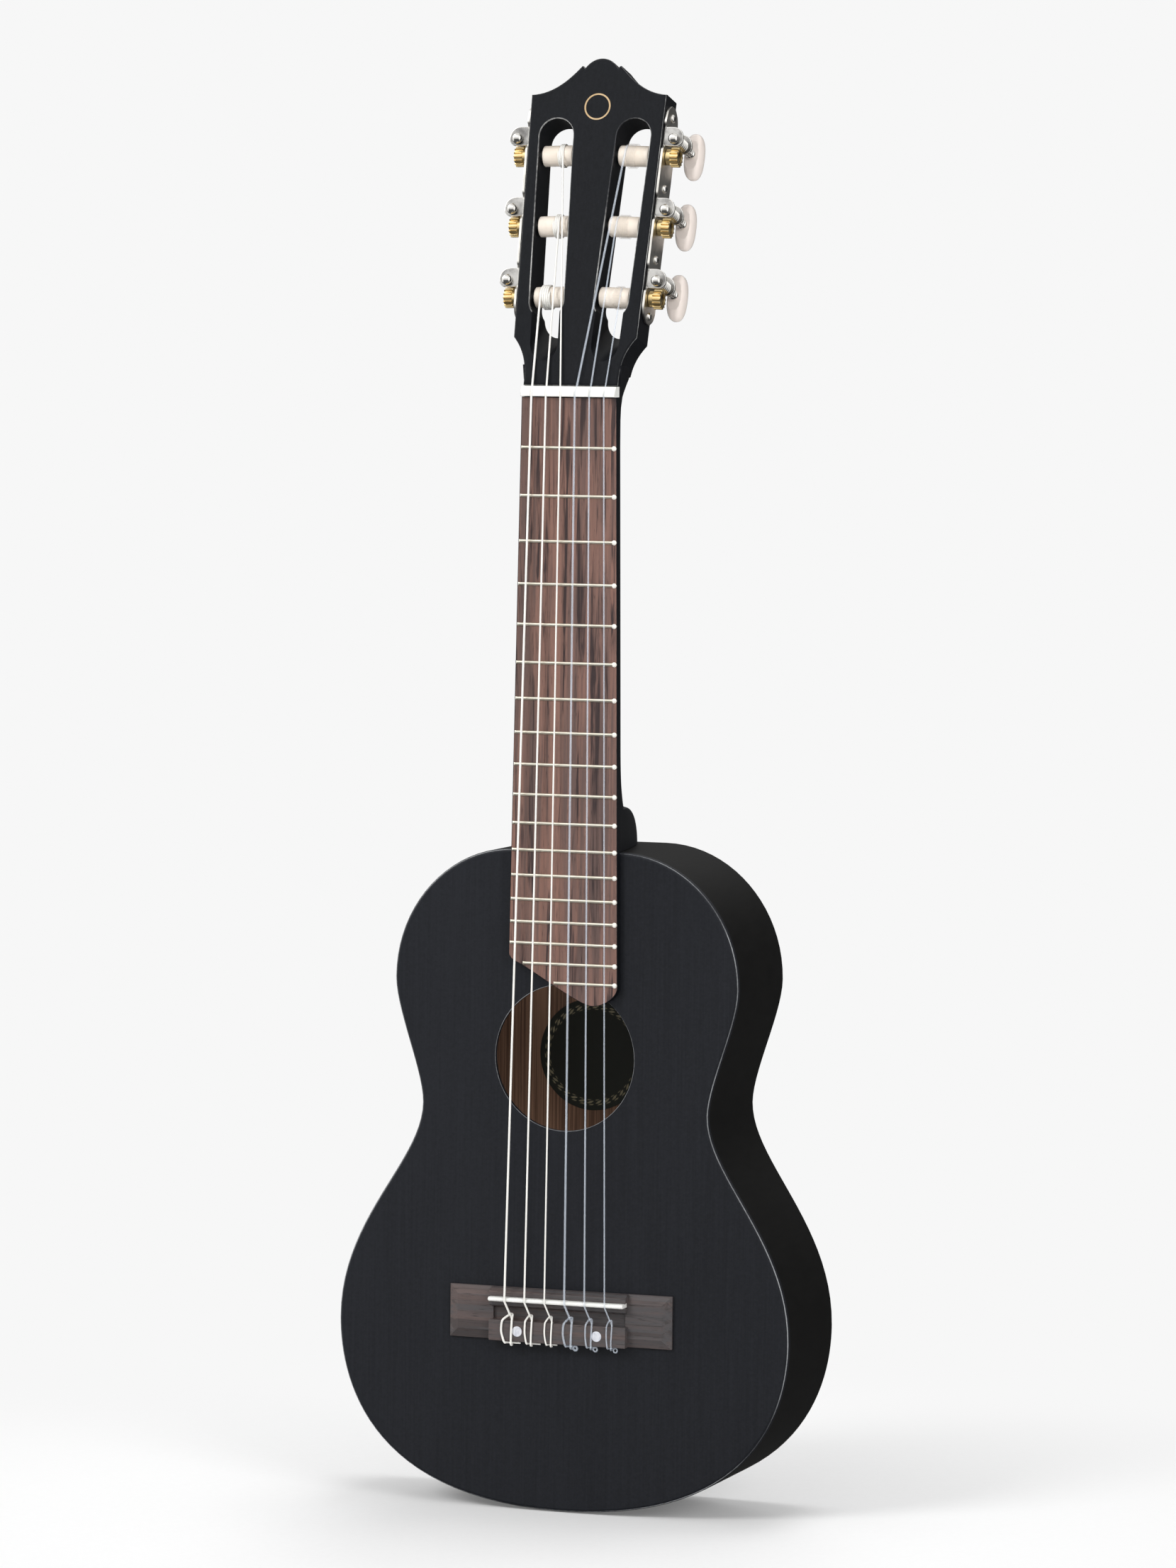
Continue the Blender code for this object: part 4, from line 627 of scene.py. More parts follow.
def combine(base, other, operation):
    """Cut or join, bake the modifier and remove the other object."""
    modifier = base.modifiers.new("combine", "BOOLEAN")
    modifier.solver = "EXACT"
    modifier.operation = operation
    modifier.object = other
    graph = bpy.context.evaluated_depsgraph_get()
    graph.update()
    baked = bpy.data.meshes.new_from_object(base.evaluated_get(graph))
    base.modifiers.clear()
    base.data = baked
    bpy.data.objects.remove(other, do_unlink=True)
    return base


def curve_points(start, start_handle, end_handle, end, steps):
    """Points along a Bezier curve, without its last one."""
    knots = [Vector((*p, 0)) for p in (start, start_handle, end_handle, end)]
    return [(p.x, p.y) for p in interpolate_bezier(*knots, steps + 1)[:-1]]


def circle(centre, radius, sides, start=0.0, end=2 * pi):
    angles = [start + (end - start) * i / sides for i in range(sides)]
    return [(centre[0] + radius * cos(a), centre[1] + radius * sin(a)) for a in angles]


def mix(a, b, t):
    return a + (b - a) * t


print("finishing tools ready")

# %% [markdown]
# ## The body
#
# The body is a shallow box: a soundboard in front, a bent rim, and a back. Its outline is drawn
# once, for the treble half, with four Bezier curves: round the upper bout, in to the waist, out to
# the lower bout and round to the tail. The other half is its mirror image.

# %% The body's outline
SCALE = 433.0 * MM
TOP = 4.0 * MM
BACK = 74.0 * MM
JOINT = -SCALE / 2
PLATE = 2.5 * MM
# Each curve's end, two handles and other end, in mm across and down, and its steps
BODY_CURVES = (((27, 0), (60.1, 0), (87.2, 28.8), (87.2, 64), 20),
               ((87.2, 64), (87.2, 80.3), (72.7, 109.3), (72.7, 124.4), 14),
               ((72.7, 124.4), (72.7, 153.2), (114.5, 182), (114.5, 231), 22),
               ((114.5, 231), (114.5, 259.2), (101.9, 319), (0, 319), 28))


def half_body():
    """From the neck to the tail: how far across, and at what height."""
    points = [(0, 0), (9, 0), (18, 0)]
    for curve in BODY_CURVES:
        points += curve_points(*curve)
    return [(x * MM, JOINT - along * MM) for x, along in points + [(0, 319)]]


def body_outline(inset=0.0):
    half = half_body()
    return moved_in(half + [(-x, z) for x, z in reversed(half[1:-1])], -inset)


def body_half_width(z, inset=0.0):
    loop = body_outline(inset)
    for (x0, z0), (x1, z1) in zip(loop, loop[1:]):
        if z0 >= z >= z1 and z0 > z1:
            return mix(x0, x1, (z0 - z) / (z0 - z1))
    return 0.0


print("outline points:", len(body_outline()))

# %% [markdown]
# The soundboard's hole and outer edge are rounded over, and a paler line, partly wear and partly
# a painted highlight, follows the outer edge. Inside, braces stiffen the plate: two across, above
# and below the hole, five fanned out under the bridge, and a flat patch there.

# %% The soundboard and its braces
HOLE_Z = JOINT - 99.6 * MM
HOLE_RADIUS = 35.2 * MM
RIM = 1.8 * MM
LINING = 4.5 * MM
BRIDGE_Z = -427.9 * MM
CROSS_BRACE = 9.4 * MM
FAN_TOP, FAN_END, FAN_LENGTH = 58 * MM, 120 * MM, 118 * MM
GLUED_IN = 0.4 * MM


def cross_bar(bm, z, depth, reach, material):
    """A brace from side to side, cut to stop short of the lining."""
    thick = 3.0 * MM
    half = min(body_half_width(z + s * thick, RIM + LINING) for s in (-1, 0, 1)) - 1.0 * MM
    low, high = sorted((depth, depth + reach))
    block(bm, (-half, low, z - thick), (half, high, z + thick), 0.8 * MM, material=material)


def soundboard():
    bm = bmesh.new()
    hole = circle((0, HOLE_Z), HOLE_RADIUS, 96)
    plate(bm, body_outline(), [hole], TOP, TOP + PLATE, 1.7 * MM, 0, 5, edge=1, rear_face=2,
          hole_round=0.35 * MM)
    inner = TOP + PLATE - GLUED_IN
    for z in (HOLE_Z + 44.2 * MM, HOLE_Z - 44.2 * MM):
        cross_bar(bm, z, inner, CROSS_BRACE, 3)
    low, high = BRIDGE_Z - 27.7 * MM, BRIDGE_Z + 2.3 * MM
    block(bm, (-64 * MM, inner, low), (64 * MM, inner + 2.4 * MM, high), 0.4 * MM, material=3)
    for share in (-0.5, -0.25, 0, 0.25, 0.5):
        turn = Matrix.Rotation(asin(share * (FAN_END - FAN_TOP) / FAN_LENGTH), 4, "Y").inverted()
        place = Matrix.Translation((share * FAN_TOP, inner, HOLE_Z - 50.2 * MM)) @ turn
        block(bm, (-2 * MM, 0, -FAN_LENGTH), mm(2, 4.9, 0), 0.6 * MM, place, 3)
    return piece("soundboard_top", bm, (TOP_BLACK, TOP_EDGE, INSIDE_TOP, BRACE_WOOD), "frame",
                 ("soundboard",))


print("soundboard faces:", len(soundboard().data.polygons))

# %% [markdown]
# The rim is one bent strip with a lining glued inside each edge, and the back closes the body.
# The back's inner face is what shows through the soundhole, so it gets its own bare wood, and a
# plain dark paper disc is glued to it.

# %% The rim, the back and the label


def rim_strip():
    bm = bmesh.new()
    front, rear = TOP + PLATE, BACK - PLATE
    plate(bm, body_outline(), [body_outline(RIM)], front, rear)
    for low, high in ((front + 0.1 * MM, front + 12 * MM), (rear - 12 * MM, rear - 0.1 * MM)):
        plate(bm, body_outline(RIM - 0.2 * MM), [body_outline(RIM + LINING)], low, high,
              0.6 * MM, 0.6 * MM, 2, edge=1, face=1, rear_face=1, wall=1)
    made = piece("bent_rim", bm, (SIDE_BLACK, BLOCK_WOOD), "frame", ("rim",))
    inner = body_outline(RIM)
    # The strip's inside is bare wood: it faces the middle and lies close to the inner outline.
    for face in made.data.polygons:
        middle = face.center
        if face.material_index == 0 and abs(face.normal.y) < 0.5:
            outward = Vector((middle.x, 0, middle.z - HOLE_Z)).dot(face.normal)
            nearest = min((Vector((middle.x, middle.z)) - Vector(p)).length for p in inner[::2])
            if outward < 0 and nearest < 6 * MM:
                face.material_index = 1
    return made


def back_plate():
    bm = bmesh.new()
    plate(bm, body_outline(), [], BACK - PLATE, BACK, 0, 1.6 * MM, 5, face=1)
    for along in (46, 152, 238):
        cross_bar(bm, JOINT - along * MM, BACK - PLATE + GLUED_IN, -CROSS_BRACE, 2)
    return piece("back_plate", bm, (SIDE_BLACK, INSIDE_WOOD, BRACE_WOOD), "frame", ("back",))


def paper_label():
    bm = bmesh.new()
    disc = circle(LABEL_CENTRE, LABEL_RADIUS, 96)
    plate(bm, disc, [], BACK - PLATE - 0.2 * MM, BACK - PLATE + 0.05 * MM, 0.05 * MM, 0, 1)
    return piece("round_label", bm, (LABEL_PAPER,), "frame", ())


print("rim, back, label:",
      [len(make().data.polygons) for make in (rim_strip, back_plate, paper_label)])
for name in ("neck_block", "tail_block"):
    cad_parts[name].data.materials[0] = BLOCK_WOOD

# %% [markdown]
# ## The neck and the slotted head
#
# The neck is a run of rounded sections that grows slowly in depth and sweeps down into the heel.
# The head is a plate, tilted back by fourteen and a half degrees, with two long slots. They are
# joined with a Boolean union, and then the nut's seat, two ramps and six bores are cut away, in
# the order in which a maker would do it.

# %% The head's outline and slots
TILT = radians(14.5)
HEAD = Matrix.Translation((0, 1.3 * MM, 5.0 * MM)) @ Matrix.Rotation(-TILT, 4, "X")
HEAD_DEPTH = 19.0 * MM
SLOT_LOW, SLOT_TOP, SLOT_HALF = 42 * MM, 123.4 * MM, 8.6 * MM


def head_half_width(along):
    return mix(62.4, 68.6, (along / MM - 24) / 120) / 2 * MM


def slot_x(along):
    return mix(16.3, 19.6, (along / MM - 42) / 81.4) * MM


def head_outline():
    half = [(24, 0.3)]
    half += curve_points((24, 3), (24, 11.4), (25.8, 17.7), (31.2, 24), 14)
    half += [(31.2, 24)] + [(mix(31.2, 34.3, t), mix(24, 144, t)) for t in (0.25, 0.5, 0.75)]
    half += curve_points((34.3, 144), (22.3, 144.5), (14.5, 153.2), (10, 158.2), 16)
    half += curve_points((10, 158.2), (9.6, 158.6), (9, 158), (8.4, 157.2), 4)
    half += curve_points((8.4, 157.2), (6.4, 160.0), (3.6, 162), (0, 162), 9)
    half = scaled(half)
    return half + [mm(0, 162)] + [(-x, s) for x, s in reversed(half)]


def slot_outline(side):
    low, high = ((slot_x(along), along) for along in (SLOT_LOW, SLOT_TOP))
    loop = circle(high, SLOT_HALF, 24, 0, pi) + [(high[0] - SLOT_HALF, SLOT_TOP)]
    loop += circle(low, SLOT_HALF, 24, pi, 2 * pi) + [(low[0] + SLOT_HALF, SLOT_LOW)]
    return [(side * x, s) for x, s in loop]


print("head outline points:", len(head_outline()), "slot points:", len(slot_outline(1)))

# %% The neck's sections
# Height, depth, fullness of the section and how far its sides flare, in mm, behind the nut
THROAT = ((-11, 16.2, 1.08, 0), (-5, 16.3, 0.95, 0), (0, 16.6, 0.76, 0), (3, 17.0, 0.56, 0),
          (6, 17.6, 0.4, 0.1), (8.5, 18.3, 0.32, 0.5), (11, 18.7, 0.3, 0.7), (15, 19.1, 0.3, 1.0))


def neck_ring(z, half_width, depth, fullness, taper=0.0):
    """Flat on top, then round the back from side to side."""
    steps = 16
    quarter = []
    for i in range(1, steps):
        angle = pi / 2 * i / steps
        down = depth * sin(angle) ** fullness
        quarter.append(((half_width - taper * down) * cos(angle) ** fullness, TOP + down))
    ring = [(half_width, TOP, z)] + [(x, y, z) for x, y in quarter] + [(0, TOP + depth, z)]
    return ring + [(-x, y, z) for x, y in reversed(quarter)] + [(-half_width, TOP, z)]


def board_half_width(z):
    return (24.0 + 2.9 * z / JOINT) * MM


def neck_rings():
    """The heel's round nose, the sweep above it, the slim neck and the throat."""
    start, nose, sweep = JOINT + 0.2 * MM, 20 * MM, 28 * MM
    full, deep, slim, slimmest = BACK - TOP, 30 * MM, 17.8 * MM, 16.2 * MM
    narrowing = (board_half_width(JOINT) - 16.5 * MM) / full
    rings = []
    for angle in range(0, 90, 6):
        share = cos(radians(angle))
        z = start + nose * sin(radians(angle))
        rings.append(neck_ring(z, board_half_width(z), mix(deep, full, share),
                               mix(1.0, 0.5, sqrt(share)), mix(0, narrowing, sqrt(share))))
    for step in range(11):
        left = (1 - step / 10) ** 2
        z = start + nose + sweep * step / 10
        rings.append(neck_ring(z, board_half_width(z), mix(slim, deep, left),
                               mix(1.15, 1.0, left)))
    for i in range(1, 9):
        z = mix(start + nose + sweep, -24 * MM, i / 8)
        rings.append(neck_ring(z, board_half_width(z), mix(slim, slimmest, i / 8), 1.15))
    for z, depth, fullness, flare in THROAT:
        half = board_half_width(min(z, 0) * MM) + flare * MM
        rings.append(neck_ring(z * MM, half, depth * MM, fullness))
    return rings


def groove_cutter(side):
    """A steep round-bottomed groove from the face near the nut to the slot's rear."""
    half, high, slope = 7.0 * MM, 17.2 * MM, radians(50)
    section = circle((0, 0), half, 24, pi, 2 * pi) + [(half, 0), (half, high), (-half, high)]
    down, rise = Vector((0, sin(slope), cos(slope))), Vector((0, -cos(slope), sin(slope)))
    start = Vector((0, 0, 12.3 * MM)) + rise * half
    rings = []
    for travel in (-HEAD_DEPTH, 3 * HEAD_DEPTH):
        spots = [start + down * travel + rise * up + Vector((across, 0, 0))
                 for across, up in section]
        rings.append([HEAD @ Vector((side * (slot_x(p.z) + p.x), p.y, p.z)) for p in spots])
    bm = bmesh.new()
    run(bm, rings)
    return mesh_object("cutter", bm, (NECK_BLACK, HEAD_EDGE))


def box_cutter(low, high, matrix=None):
    bm = bmesh.new()
    block(bm, low, high, matrix=matrix)
    return mesh_object("cutter", bm, (NECK_BLACK, HEAD_EDGE))


def round_cutter(start, end, radius, sides, finishes):
    bm = bmesh.new()
    turn = (end - start).to_track_quat("Z", "Y").to_matrix().to_4x4()
    bmesh.ops.create_cone(bm, cap_ends=True, segments=sides, radius1=radius, radius2=radius,
                          depth=(end - start).length,
                          matrix=Matrix.Translation((start + end) / 2) @ turn)
    return mesh_object("cutter", bm, finishes)


print("neck rings:", len(neck_rings()))

# %% The tuning machines' places
ROLLER_DEPTH = 7.5 * MM
FIRST_ROLLER, ROLLER_GAP = 45, 35


def roller_at(index):
    return (FIRST_ROLLER + ROLLER_GAP * index) * MM


def tuner_height(index):
    return (index - 1) * ROLLER_GAP * MM


def tuner_frame(side):
    """On the head's edge by the middle roller: X across, Y into the head, Z along the edge."""
    splay = atan2(3.1, 120)
    middle = Matrix.Translation((side * head_half_width(roller_at(1)), 0, roller_at(1)))
    return HEAD @ middle @ Matrix.Rotation(side * splay, 4, "Y")


def string_number(side, index):
    return 1 + index if side > 0 else 6 - index


PLACES = [(side, index, string_number(side, index)) for side in (1, -1) for index in range(3)]
print("tuners, as side, place and string:", PLACES)

# %% Join the neck and head, then cut


def neck_and_head():
    finishes = (NECK_BLACK, HEAD_EDGE)
    head = bmesh.new()
    plate(head, head_outline(), [slot_outline(1), slot_outline(-1)], 0, HEAD_DEPTH, 1.2 * MM,
          4.0 * MM, 6, edge=1, hole_round=0.6 * MM)
    head.transform(HEAD)
    head = mesh_object("head", head, finishes)
    combine(head, box_cutter(mm(-70, 4, -9), mm(70, 38, 9), HEAD), "DIFFERENCE")
    shaft = bmesh.new()
    run(shaft, neck_rings())
    shaft = combine(mesh_object("neck_and_head", shaft, finishes), head, "UNION")
    combine(shaft, box_cutter(mm(-70, -15, -5), (70 * MM, TOP, 5.2 * MM)), "DIFFERENCE")
    for side in (-1, 1):
        combine(shaft, groove_cutter(side), "DIFFERENCE")
    for side, index, _ in PLACES:
        along = roller_at(index)
        inner = slot_x(along) - head_half_width(along) - 12.9 * MM
        ends = [tuner_frame(side) @ Vector((side * out, ROLLER_DEPTH, tuner_height(index)))
                for out in (inner, 3.6 * MM)]
        combine(shaft, round_cutter(*ends, 3.1 * MM, 24, finishes), "DIFFERENCE")
    return dress(shaft, "frame", ("neck",), 32)


print("neck and head faces:", len(neck_and_head().data.polygons))

# %% [markdown]
# The head carries a plain gilt ring, let into the lacquer and a hair proud of it.

# %% A plain ring on the head


def gilt_ring():
    bm = bmesh.new()
    centre = (0, 137.8 * MM)
    plate(bm, circle(centre, 6.6 * MM, 72), [circle(centre, 5.8 * MM, 72)], -0.06 * MM, 0.3 * MM,
          0.03 * MM, 0, 1)
    return piece("gilt_ring", bm, (GILT,), "frame", (), HEAD)


print("ring faces:", len(gilt_ring().data.polygons))

# %% [markdown]
# ## The fingerboard
#
# The board ends in a slanted S over the soundhole, so that it reaches further under the treble
# strings. Its sides are blackened to match the neck. The frets are round-topped wires, and each
# treble end is filed to a small dome that stops just short of the board's edge; its brightness is a
# painted glint, a mostly matt near-white face. The space between two frets shrinks by the twelfth
# root of two.

# %% The board's outline
BOARD_END = (((27.9, -281), (27.6, -286), (20.5, -290.4), (15.2, -290.4), 10),
             ((15.2, -290.4), (8.5, -290.4), (-13.0, -275.5), (-23.0, -270.8), 16),
             ((-23.0, -270.8), (-25.5, -269.8), (-27.6, -268.6), (-27.7, -265.5), 7))


def board_outline():
    points = [mm(-24, -0.2), mm(24, -0.2), (board_half_width(-280.1 * MM), -280 * MM)]
    for curve in BOARD_END:
        points += scaled(curve_points(*curve))
    return points + [(-board_half_width(-262 * MM), -262 * MM)]


def board_span(z):
    """Where a line across the board at a height enters and leaves it."""
    crossings = [mix(x0, x1, (z0 - z) / (z0 - z1))
                 for (x0, z0), (x1, z1) in neighbours(board_outline()) if (z0 - z) * (z1 - z) < 0]
    return min(crossings), max(crossings)


def fingerboard():
    bm = bmesh.new()
    plate(bm, board_outline(), [], 0, 3.8 * MM, 0.3 * MM, 0, 2, wall=1)
    return piece("fingerboard_plank", bm, (BOARD_WOOD, NECK_BLACK), "frame", ("fingerboard",),
                 crease=40)


FRETS = 18
FRET_HALF, FRET_CROWN, TANG_HALF, TANG = 0.8 * MM, 0.9 * MM, 0.3 * MM, 1.4 * MM


def fret_z(number):
    return -SCALE * (1 - 2 ** (-number / 12))


def fret_wire(number):
    z = fret_z(number)
    spans = [board_span(z + s * MM) for s in (-1.1, 0, 1.1)]
    start = max(span[0] for span in spans) + 0.4 * MM
    end = min(span[1] for span in spans) - 0.4 * MM
    rings = []
    for x, height in ((start, 0.35), (start + 0.35 * MM, 0.75), (start + 0.9 * MM, 1),
                      (end - 1.2 * MM, 1)):
        crown = [(FRET_HALF * cos(a), -FRET_CROWN * height * sin(a) ** 0.8)
                 for a in (pi * i / 10 for i in range(11))]
        tang = [(-TANG_HALF, 0), (-TANG_HALF, TANG), (TANG_HALF, TANG), (TANG_HALF, 0)]
        rings.append([(x, y, z + across) for across, y in crown + tang])
    bm = bmesh.new()
    run(bm, rings)
    dome = [(1.25 * cos(radians(a)), 1.1 * sin(radians(a))) for a in range(0, 90, 15)]
    place = Matrix.Translation((end - 1.0 * MM, 0, z)) @ Matrix.Rotation(pi / 2, 4, "X")
    turned(bm, [(0, -0.4), (1.25, -0.4)] + dome + [(0, 1.1)], 20, place, 1)
    return piece("fret_wire_%02d" % number, bm, (FRET_NICKEL, FRET_END_GLINT), "frame",
                 ("fret_%02d" % number,), crease=50)


fingerboard()
for number in range(1, FRETS + 1):
    fret_wire(number)
print(FRETS, "frets, first gap", round(-fret_z(1) / MM, 1), "mm")

# %% [markdown]
# ## Where the strings run
#
# The nut, the saddle and the rollers decide each string's path, so the path is worked out first
# and the nut's grooves are cut to it. Strings are numbered from the first treble to the last bass.

# %% String places
DIAMETERS = mm(0.72, 0.85, 1.05, 0.80, 0.92, 1.06)
NUT_SPREAD, SADDLE_SPREAD = 36.5 * MM, 50.8 * MM
ROLLER_RADIUS = 5.0 * MM
# Where each winding starts across the head, which way it travels and how often it goes round
START_X = mm(20.0, 14.6, 15.5, -16.0, -14.5, -20.3)
SENSE = (-1, 1, 1, -1, -1, 1)
TURNS = (5, 6, 4.5, 3, 3, 4)


def string_share(number):
    return 0.5 - (number - 1) / 5


def nut_point(number):
    return Vector((NUT_SPREAD * string_share(number), -2.3 * MM, 0.2 * MM))


def saddle_point(number):
    radius = DIAMETERS[number - 1] / 2
    return Vector((SADDLE_SPREAD * string_share(number), -6.25 * MM - radius, -433.6 * MM))


def winding_point(number, turn, sink=0.0):
    """A point on the roller's winding: turn 0 faces front and a quarter more is on top."""
    side, index = [(s, i) for s, i, n in PLACES if n == number][0]
    pitch = DIAMETERS[number - 1] * 1.04
    along = START_X[number - 1] + SENSE[number - 1] * turn * pitch
    out = along - side * head_half_width(roller_at(index))
    radius = ROLLER_RADIUS + DIAMETERS[number - 1] / 2 - sink
    local = Vector((out, ROLLER_DEPTH - radius * cos(2 * pi * turn),
                    tuner_height(index) + radius * sin(2 * pi * turn)))
    return tuner_frame(side) @ local


print("string gaps in mm, at the nut and at the saddle:",
      [round(spread / MM / 5, 1) for spread in (NUT_SPREAD, SADDLE_SPREAD)])

# %% The nut and the saddle


def nut_profile(x, floor):
    """The nut's section, sunk where a string's groove has its floor."""
    front, back = max(-2.7, floor), max(-1.2, floor + 0.25)
    points = ((3.9, 0.02), (front + 0.5, 0), (front + 0.1, 0.25), (front, 0.7),
              (front + 0.1, 2.0), (back - 0.1, 4.4), (back + 0.3, 4.95), (3.9, 5))
    return [(x, y * MM, z * MM) for y, z in points]


def nut_block():
    """A run along X whose top dips at every string."""
    uncut = -9
    rings = [nut_profile(-23.9 * MM, -2.2), nut_profile(-23.5 * MM, uncut)]
    for number in range(6, 0, -1):
        radius = DIAMETERS[number - 1] / 2
        middle = nut_point(number)
        floor = (middle.y + radius) / MM
        for offset, dip in ((-1.25, None), (-1.05, 0.75), (-0.7, 0.25), (0, 0), (0.7, 0.25),
                            (1.05, 0.75), (1.25, None)):
            low = uncut if dip is None else floor - dip * radius / MM
            rings.append(nut_profile(middle.x + offset * radius, low))
    rings += [nut_profile(23.5 * MM, uncut), nut_profile(23.9 * MM, -2.2)]
    bm = bmesh.new()
    run(bm, rings)
    return piece("grooved_nut", bm, (WHITE_PLASTIC,), "frame", ("nut",), crease=50)


def saddle_strip():
    half, foot, shoulder, crown = mm(1.1, 1.9, -4.8, 1.4)
    profile = [(half, foot)] + [(half * cos(pi * i / 12), shoulder - crown * sin(pi * i / 12))
                                for i in range(13)] + [(-half, foot)]
    rings = []
    for x, inset in ((-34.2, 0.3), (-33.9, 0), (33.9, 0), (34.2, 0.3)):
        rings.append([(x * MM, y + inset * MM, -SCALE + z * (1 - 0.15 * inset / 0.3))
                      for z, y in profile])
    bm = bmesh.new()
    run(bm, rings)
    return piece("saddle_strip", bm, (WHITE_PLASTIC,), "frame", ("saddle",),
                 crease=45)


print("nut and saddle faces:", len(nut_block().data.polygons), len(saddle_strip().data.polygons))

# %% [markdown]
# ## The bridge
#
# The bridge is carved from one piece: a tall middle with the saddle's seat, a valley and the tie
# block, and two low wings with bevelled edges and sloping ends. Six holes run through the tie
# block, and two pearl dots are let into it.

# %% The bridge
BRIDGE_NOSE, BRIDGE_REAR, BRIDGE_BASE = -427.9, -453.4, 3.9
TIE_SHIFT, TIE_HOLE = 1.5, 0.5


def eased(profile, cut):
    """Each corner of a profile is cut by a small chamfer."""
    points = []
    for before, here, after in corners(profile):
        for other in (before, after):
            reach = min(cut, 0.4 * (other - here).length)
            points.append(tuple(here + (other - here).normalized() * reach))
    return points


def bridge_wings():
    bm = bmesh.new()
    low, high, base = BRIDGE_REAR, BRIDGE_NOSE, BRIDGE_BASE
    for side in (-1, 1):
        rings = []
        for x, height, bevel in ((33.6, 3.4, 4.4), (51.9, 3.4, 4.4), (56.2, 1.6, 0.2),
                                 (56.5, 1.3, 0.2)):
            top = base - height
            section = [(low, base), (low, 2.6), (low + 0.25, 2.3), (low + bevel, top),
                       (high - bevel, top), (high - 0.25, 2.3), (high, 2.6), (high, base)]
            rings.append([mm(side * x, y, z) for z, y in section])
        run(bm, rings)
    return mesh_object("wings", bm, (BRIDGE_WOOD,))


def bridge_body():
    profile = [(BRIDGE_NOSE, BRIDGE_BASE), (BRIDGE_NOSE, 0), (-429.5, -3), (-431.8, -3),
               (-431.8, 2.1), (-434.2, 2.1), (-434.2, -3), (-436.2, -2.6), (-437.6, 2.2),
               (-443.4, 2.2), (-443.4, -3), (BRIDGE_REAR, -3), (BRIDGE_REAR, BRIDGE_BASE)]
    outline = eased(scaled(profile), 0.25 * MM)
    bm = bmesh.new()
    run(bm, [[(x * MM, y, z) for z, y in moved_in(outline, turning(outline) * inset * MM)]
             for x, inset in ((-34.75, 0.2), (-34.5, 0), (34.5, 0), (34.75, 0.2))])
    bridge = combine(mesh_object("bridge_body", bm, (BRIDGE_WOOD,)), bridge_wings(), "UNION")
    for number in range(1, 7):
        x = saddle_point(number).x + TIE_SHIFT * MM
        ends = [Vector((x, TIE_HOLE * MM, z * MM)) for z in (-455, -442)]
        radius = DIAMETERS[number - 1] / 2 + 0.35 * MM
        combine(bridge, round_cutter(*ends, radius, 20, (BRIDGE_WOOD,)), "DIFFERENCE")
    return dress(bridge, "frame", ("bridge",), 9)


def pearl_dots():
    bm = bmesh.new()
    for x in mm(-20.2, 20.2):
        centre = (x, -448.4 * MM)
        plate(bm, circle(centre, 2.5 * MM, 40), [], -3.06 * MM, -2.5 * MM, 0.05 * MM, 0, 1)
    return piece("bridge_dots", bm, (PEARL,), "frame", ())


print("bridge faces:", len(bridge_body().data.polygons), "dots:", len(pearl_dots().data.polygons))

# %% [markdown]
# ## The tuning machines
#
# Each side has one nickel plate with a pair of ears for every worm. A button turns the worm, the
# worm turns a brass gear of fourteen teeth, and the gear turns the roller that winds the string.
# The pieces are made in a frame of their own on the head's edge, so both sides share the numbers.

# %% Plates, ears and screws
WORM_OUT = 5.9 * MM
WORM_UP = 7.5 * MM


def soft_corners(points, cut, steps):
    """The loop with each corner swapped for a short curve."""
    loop = []
    for before, here, after in corners(points):
        start, end = (here + (other - here).normalized() * min(cut, 0.45 * (other - here).length)
                      for other in (before, after))
        for k in range(steps + 1):
            t = k / steps
            loop.append(tuple(start.lerp(here, t).lerp(here.lerp(end, t), t)))
    return loop


def worm_height(index):
    return (tuner_height(index) + WORM_UP) / MM


def plate_outline():
    low, high = tuner_height(0) / MM - 12, tuner_height(2) / MM + 25
    points = [(6.7, low), (2.4, low + 3), (0.8, low + 6.5)]
    for worm in map(worm_height, range(3)):
        points += [(0.8, worm - 4.8), (2.6, worm - 3.5), (2.6, worm + 6.3), (0.8, worm + 7.9)]
    points += [(2.4, high - 3), (6.7, high), (11.7, high), (15.9, high - 3), (17.6, high - 6.5),
               (17.6, low + 6.5), (15.9, low + 3), (11.7, low)]
    return soft_corners(scaled(points), 1.0 * MM, 2)


def ear_outline(index):
    worm = worm_height(index)
    points = [(0.6, worm - 3.3), (8.2, worm - 3.3), (10.2, worm - 1.2), (10.2, worm + 1.6),
              (8.9, worm + 4.6), (6.2, worm + 6.1), (0.6, worm + 6.1)]
    return soft_corners(scaled(points), 1.6 * MM, 4)


def screw_head(bm, where, side):
    """A round head with a cross recess, standing on the plate; the recess is two dark bars: painted
    shade.
    """
    place = Matrix.Translation(where) @ Matrix.Rotation(side * pi / 2, 4, "Y")
    turned(bm, [(0, 1.25), (0.9, 1.15), (1.6, 0.8), (2.05, 0.3), (2.1, 0), (0, 0)], 24, place)
    # The cross recess is two thin dark bars, not a cut: painted shade.
    for turn in (0.4, 0.4 + pi / 2):
        bar = place @ Matrix.Rotation(turn, 4, "Z")
        block(bm, mm(-1.15, -0.17, 0.7), mm(1.15, 0.17, 1.27), 0, bar, 1)


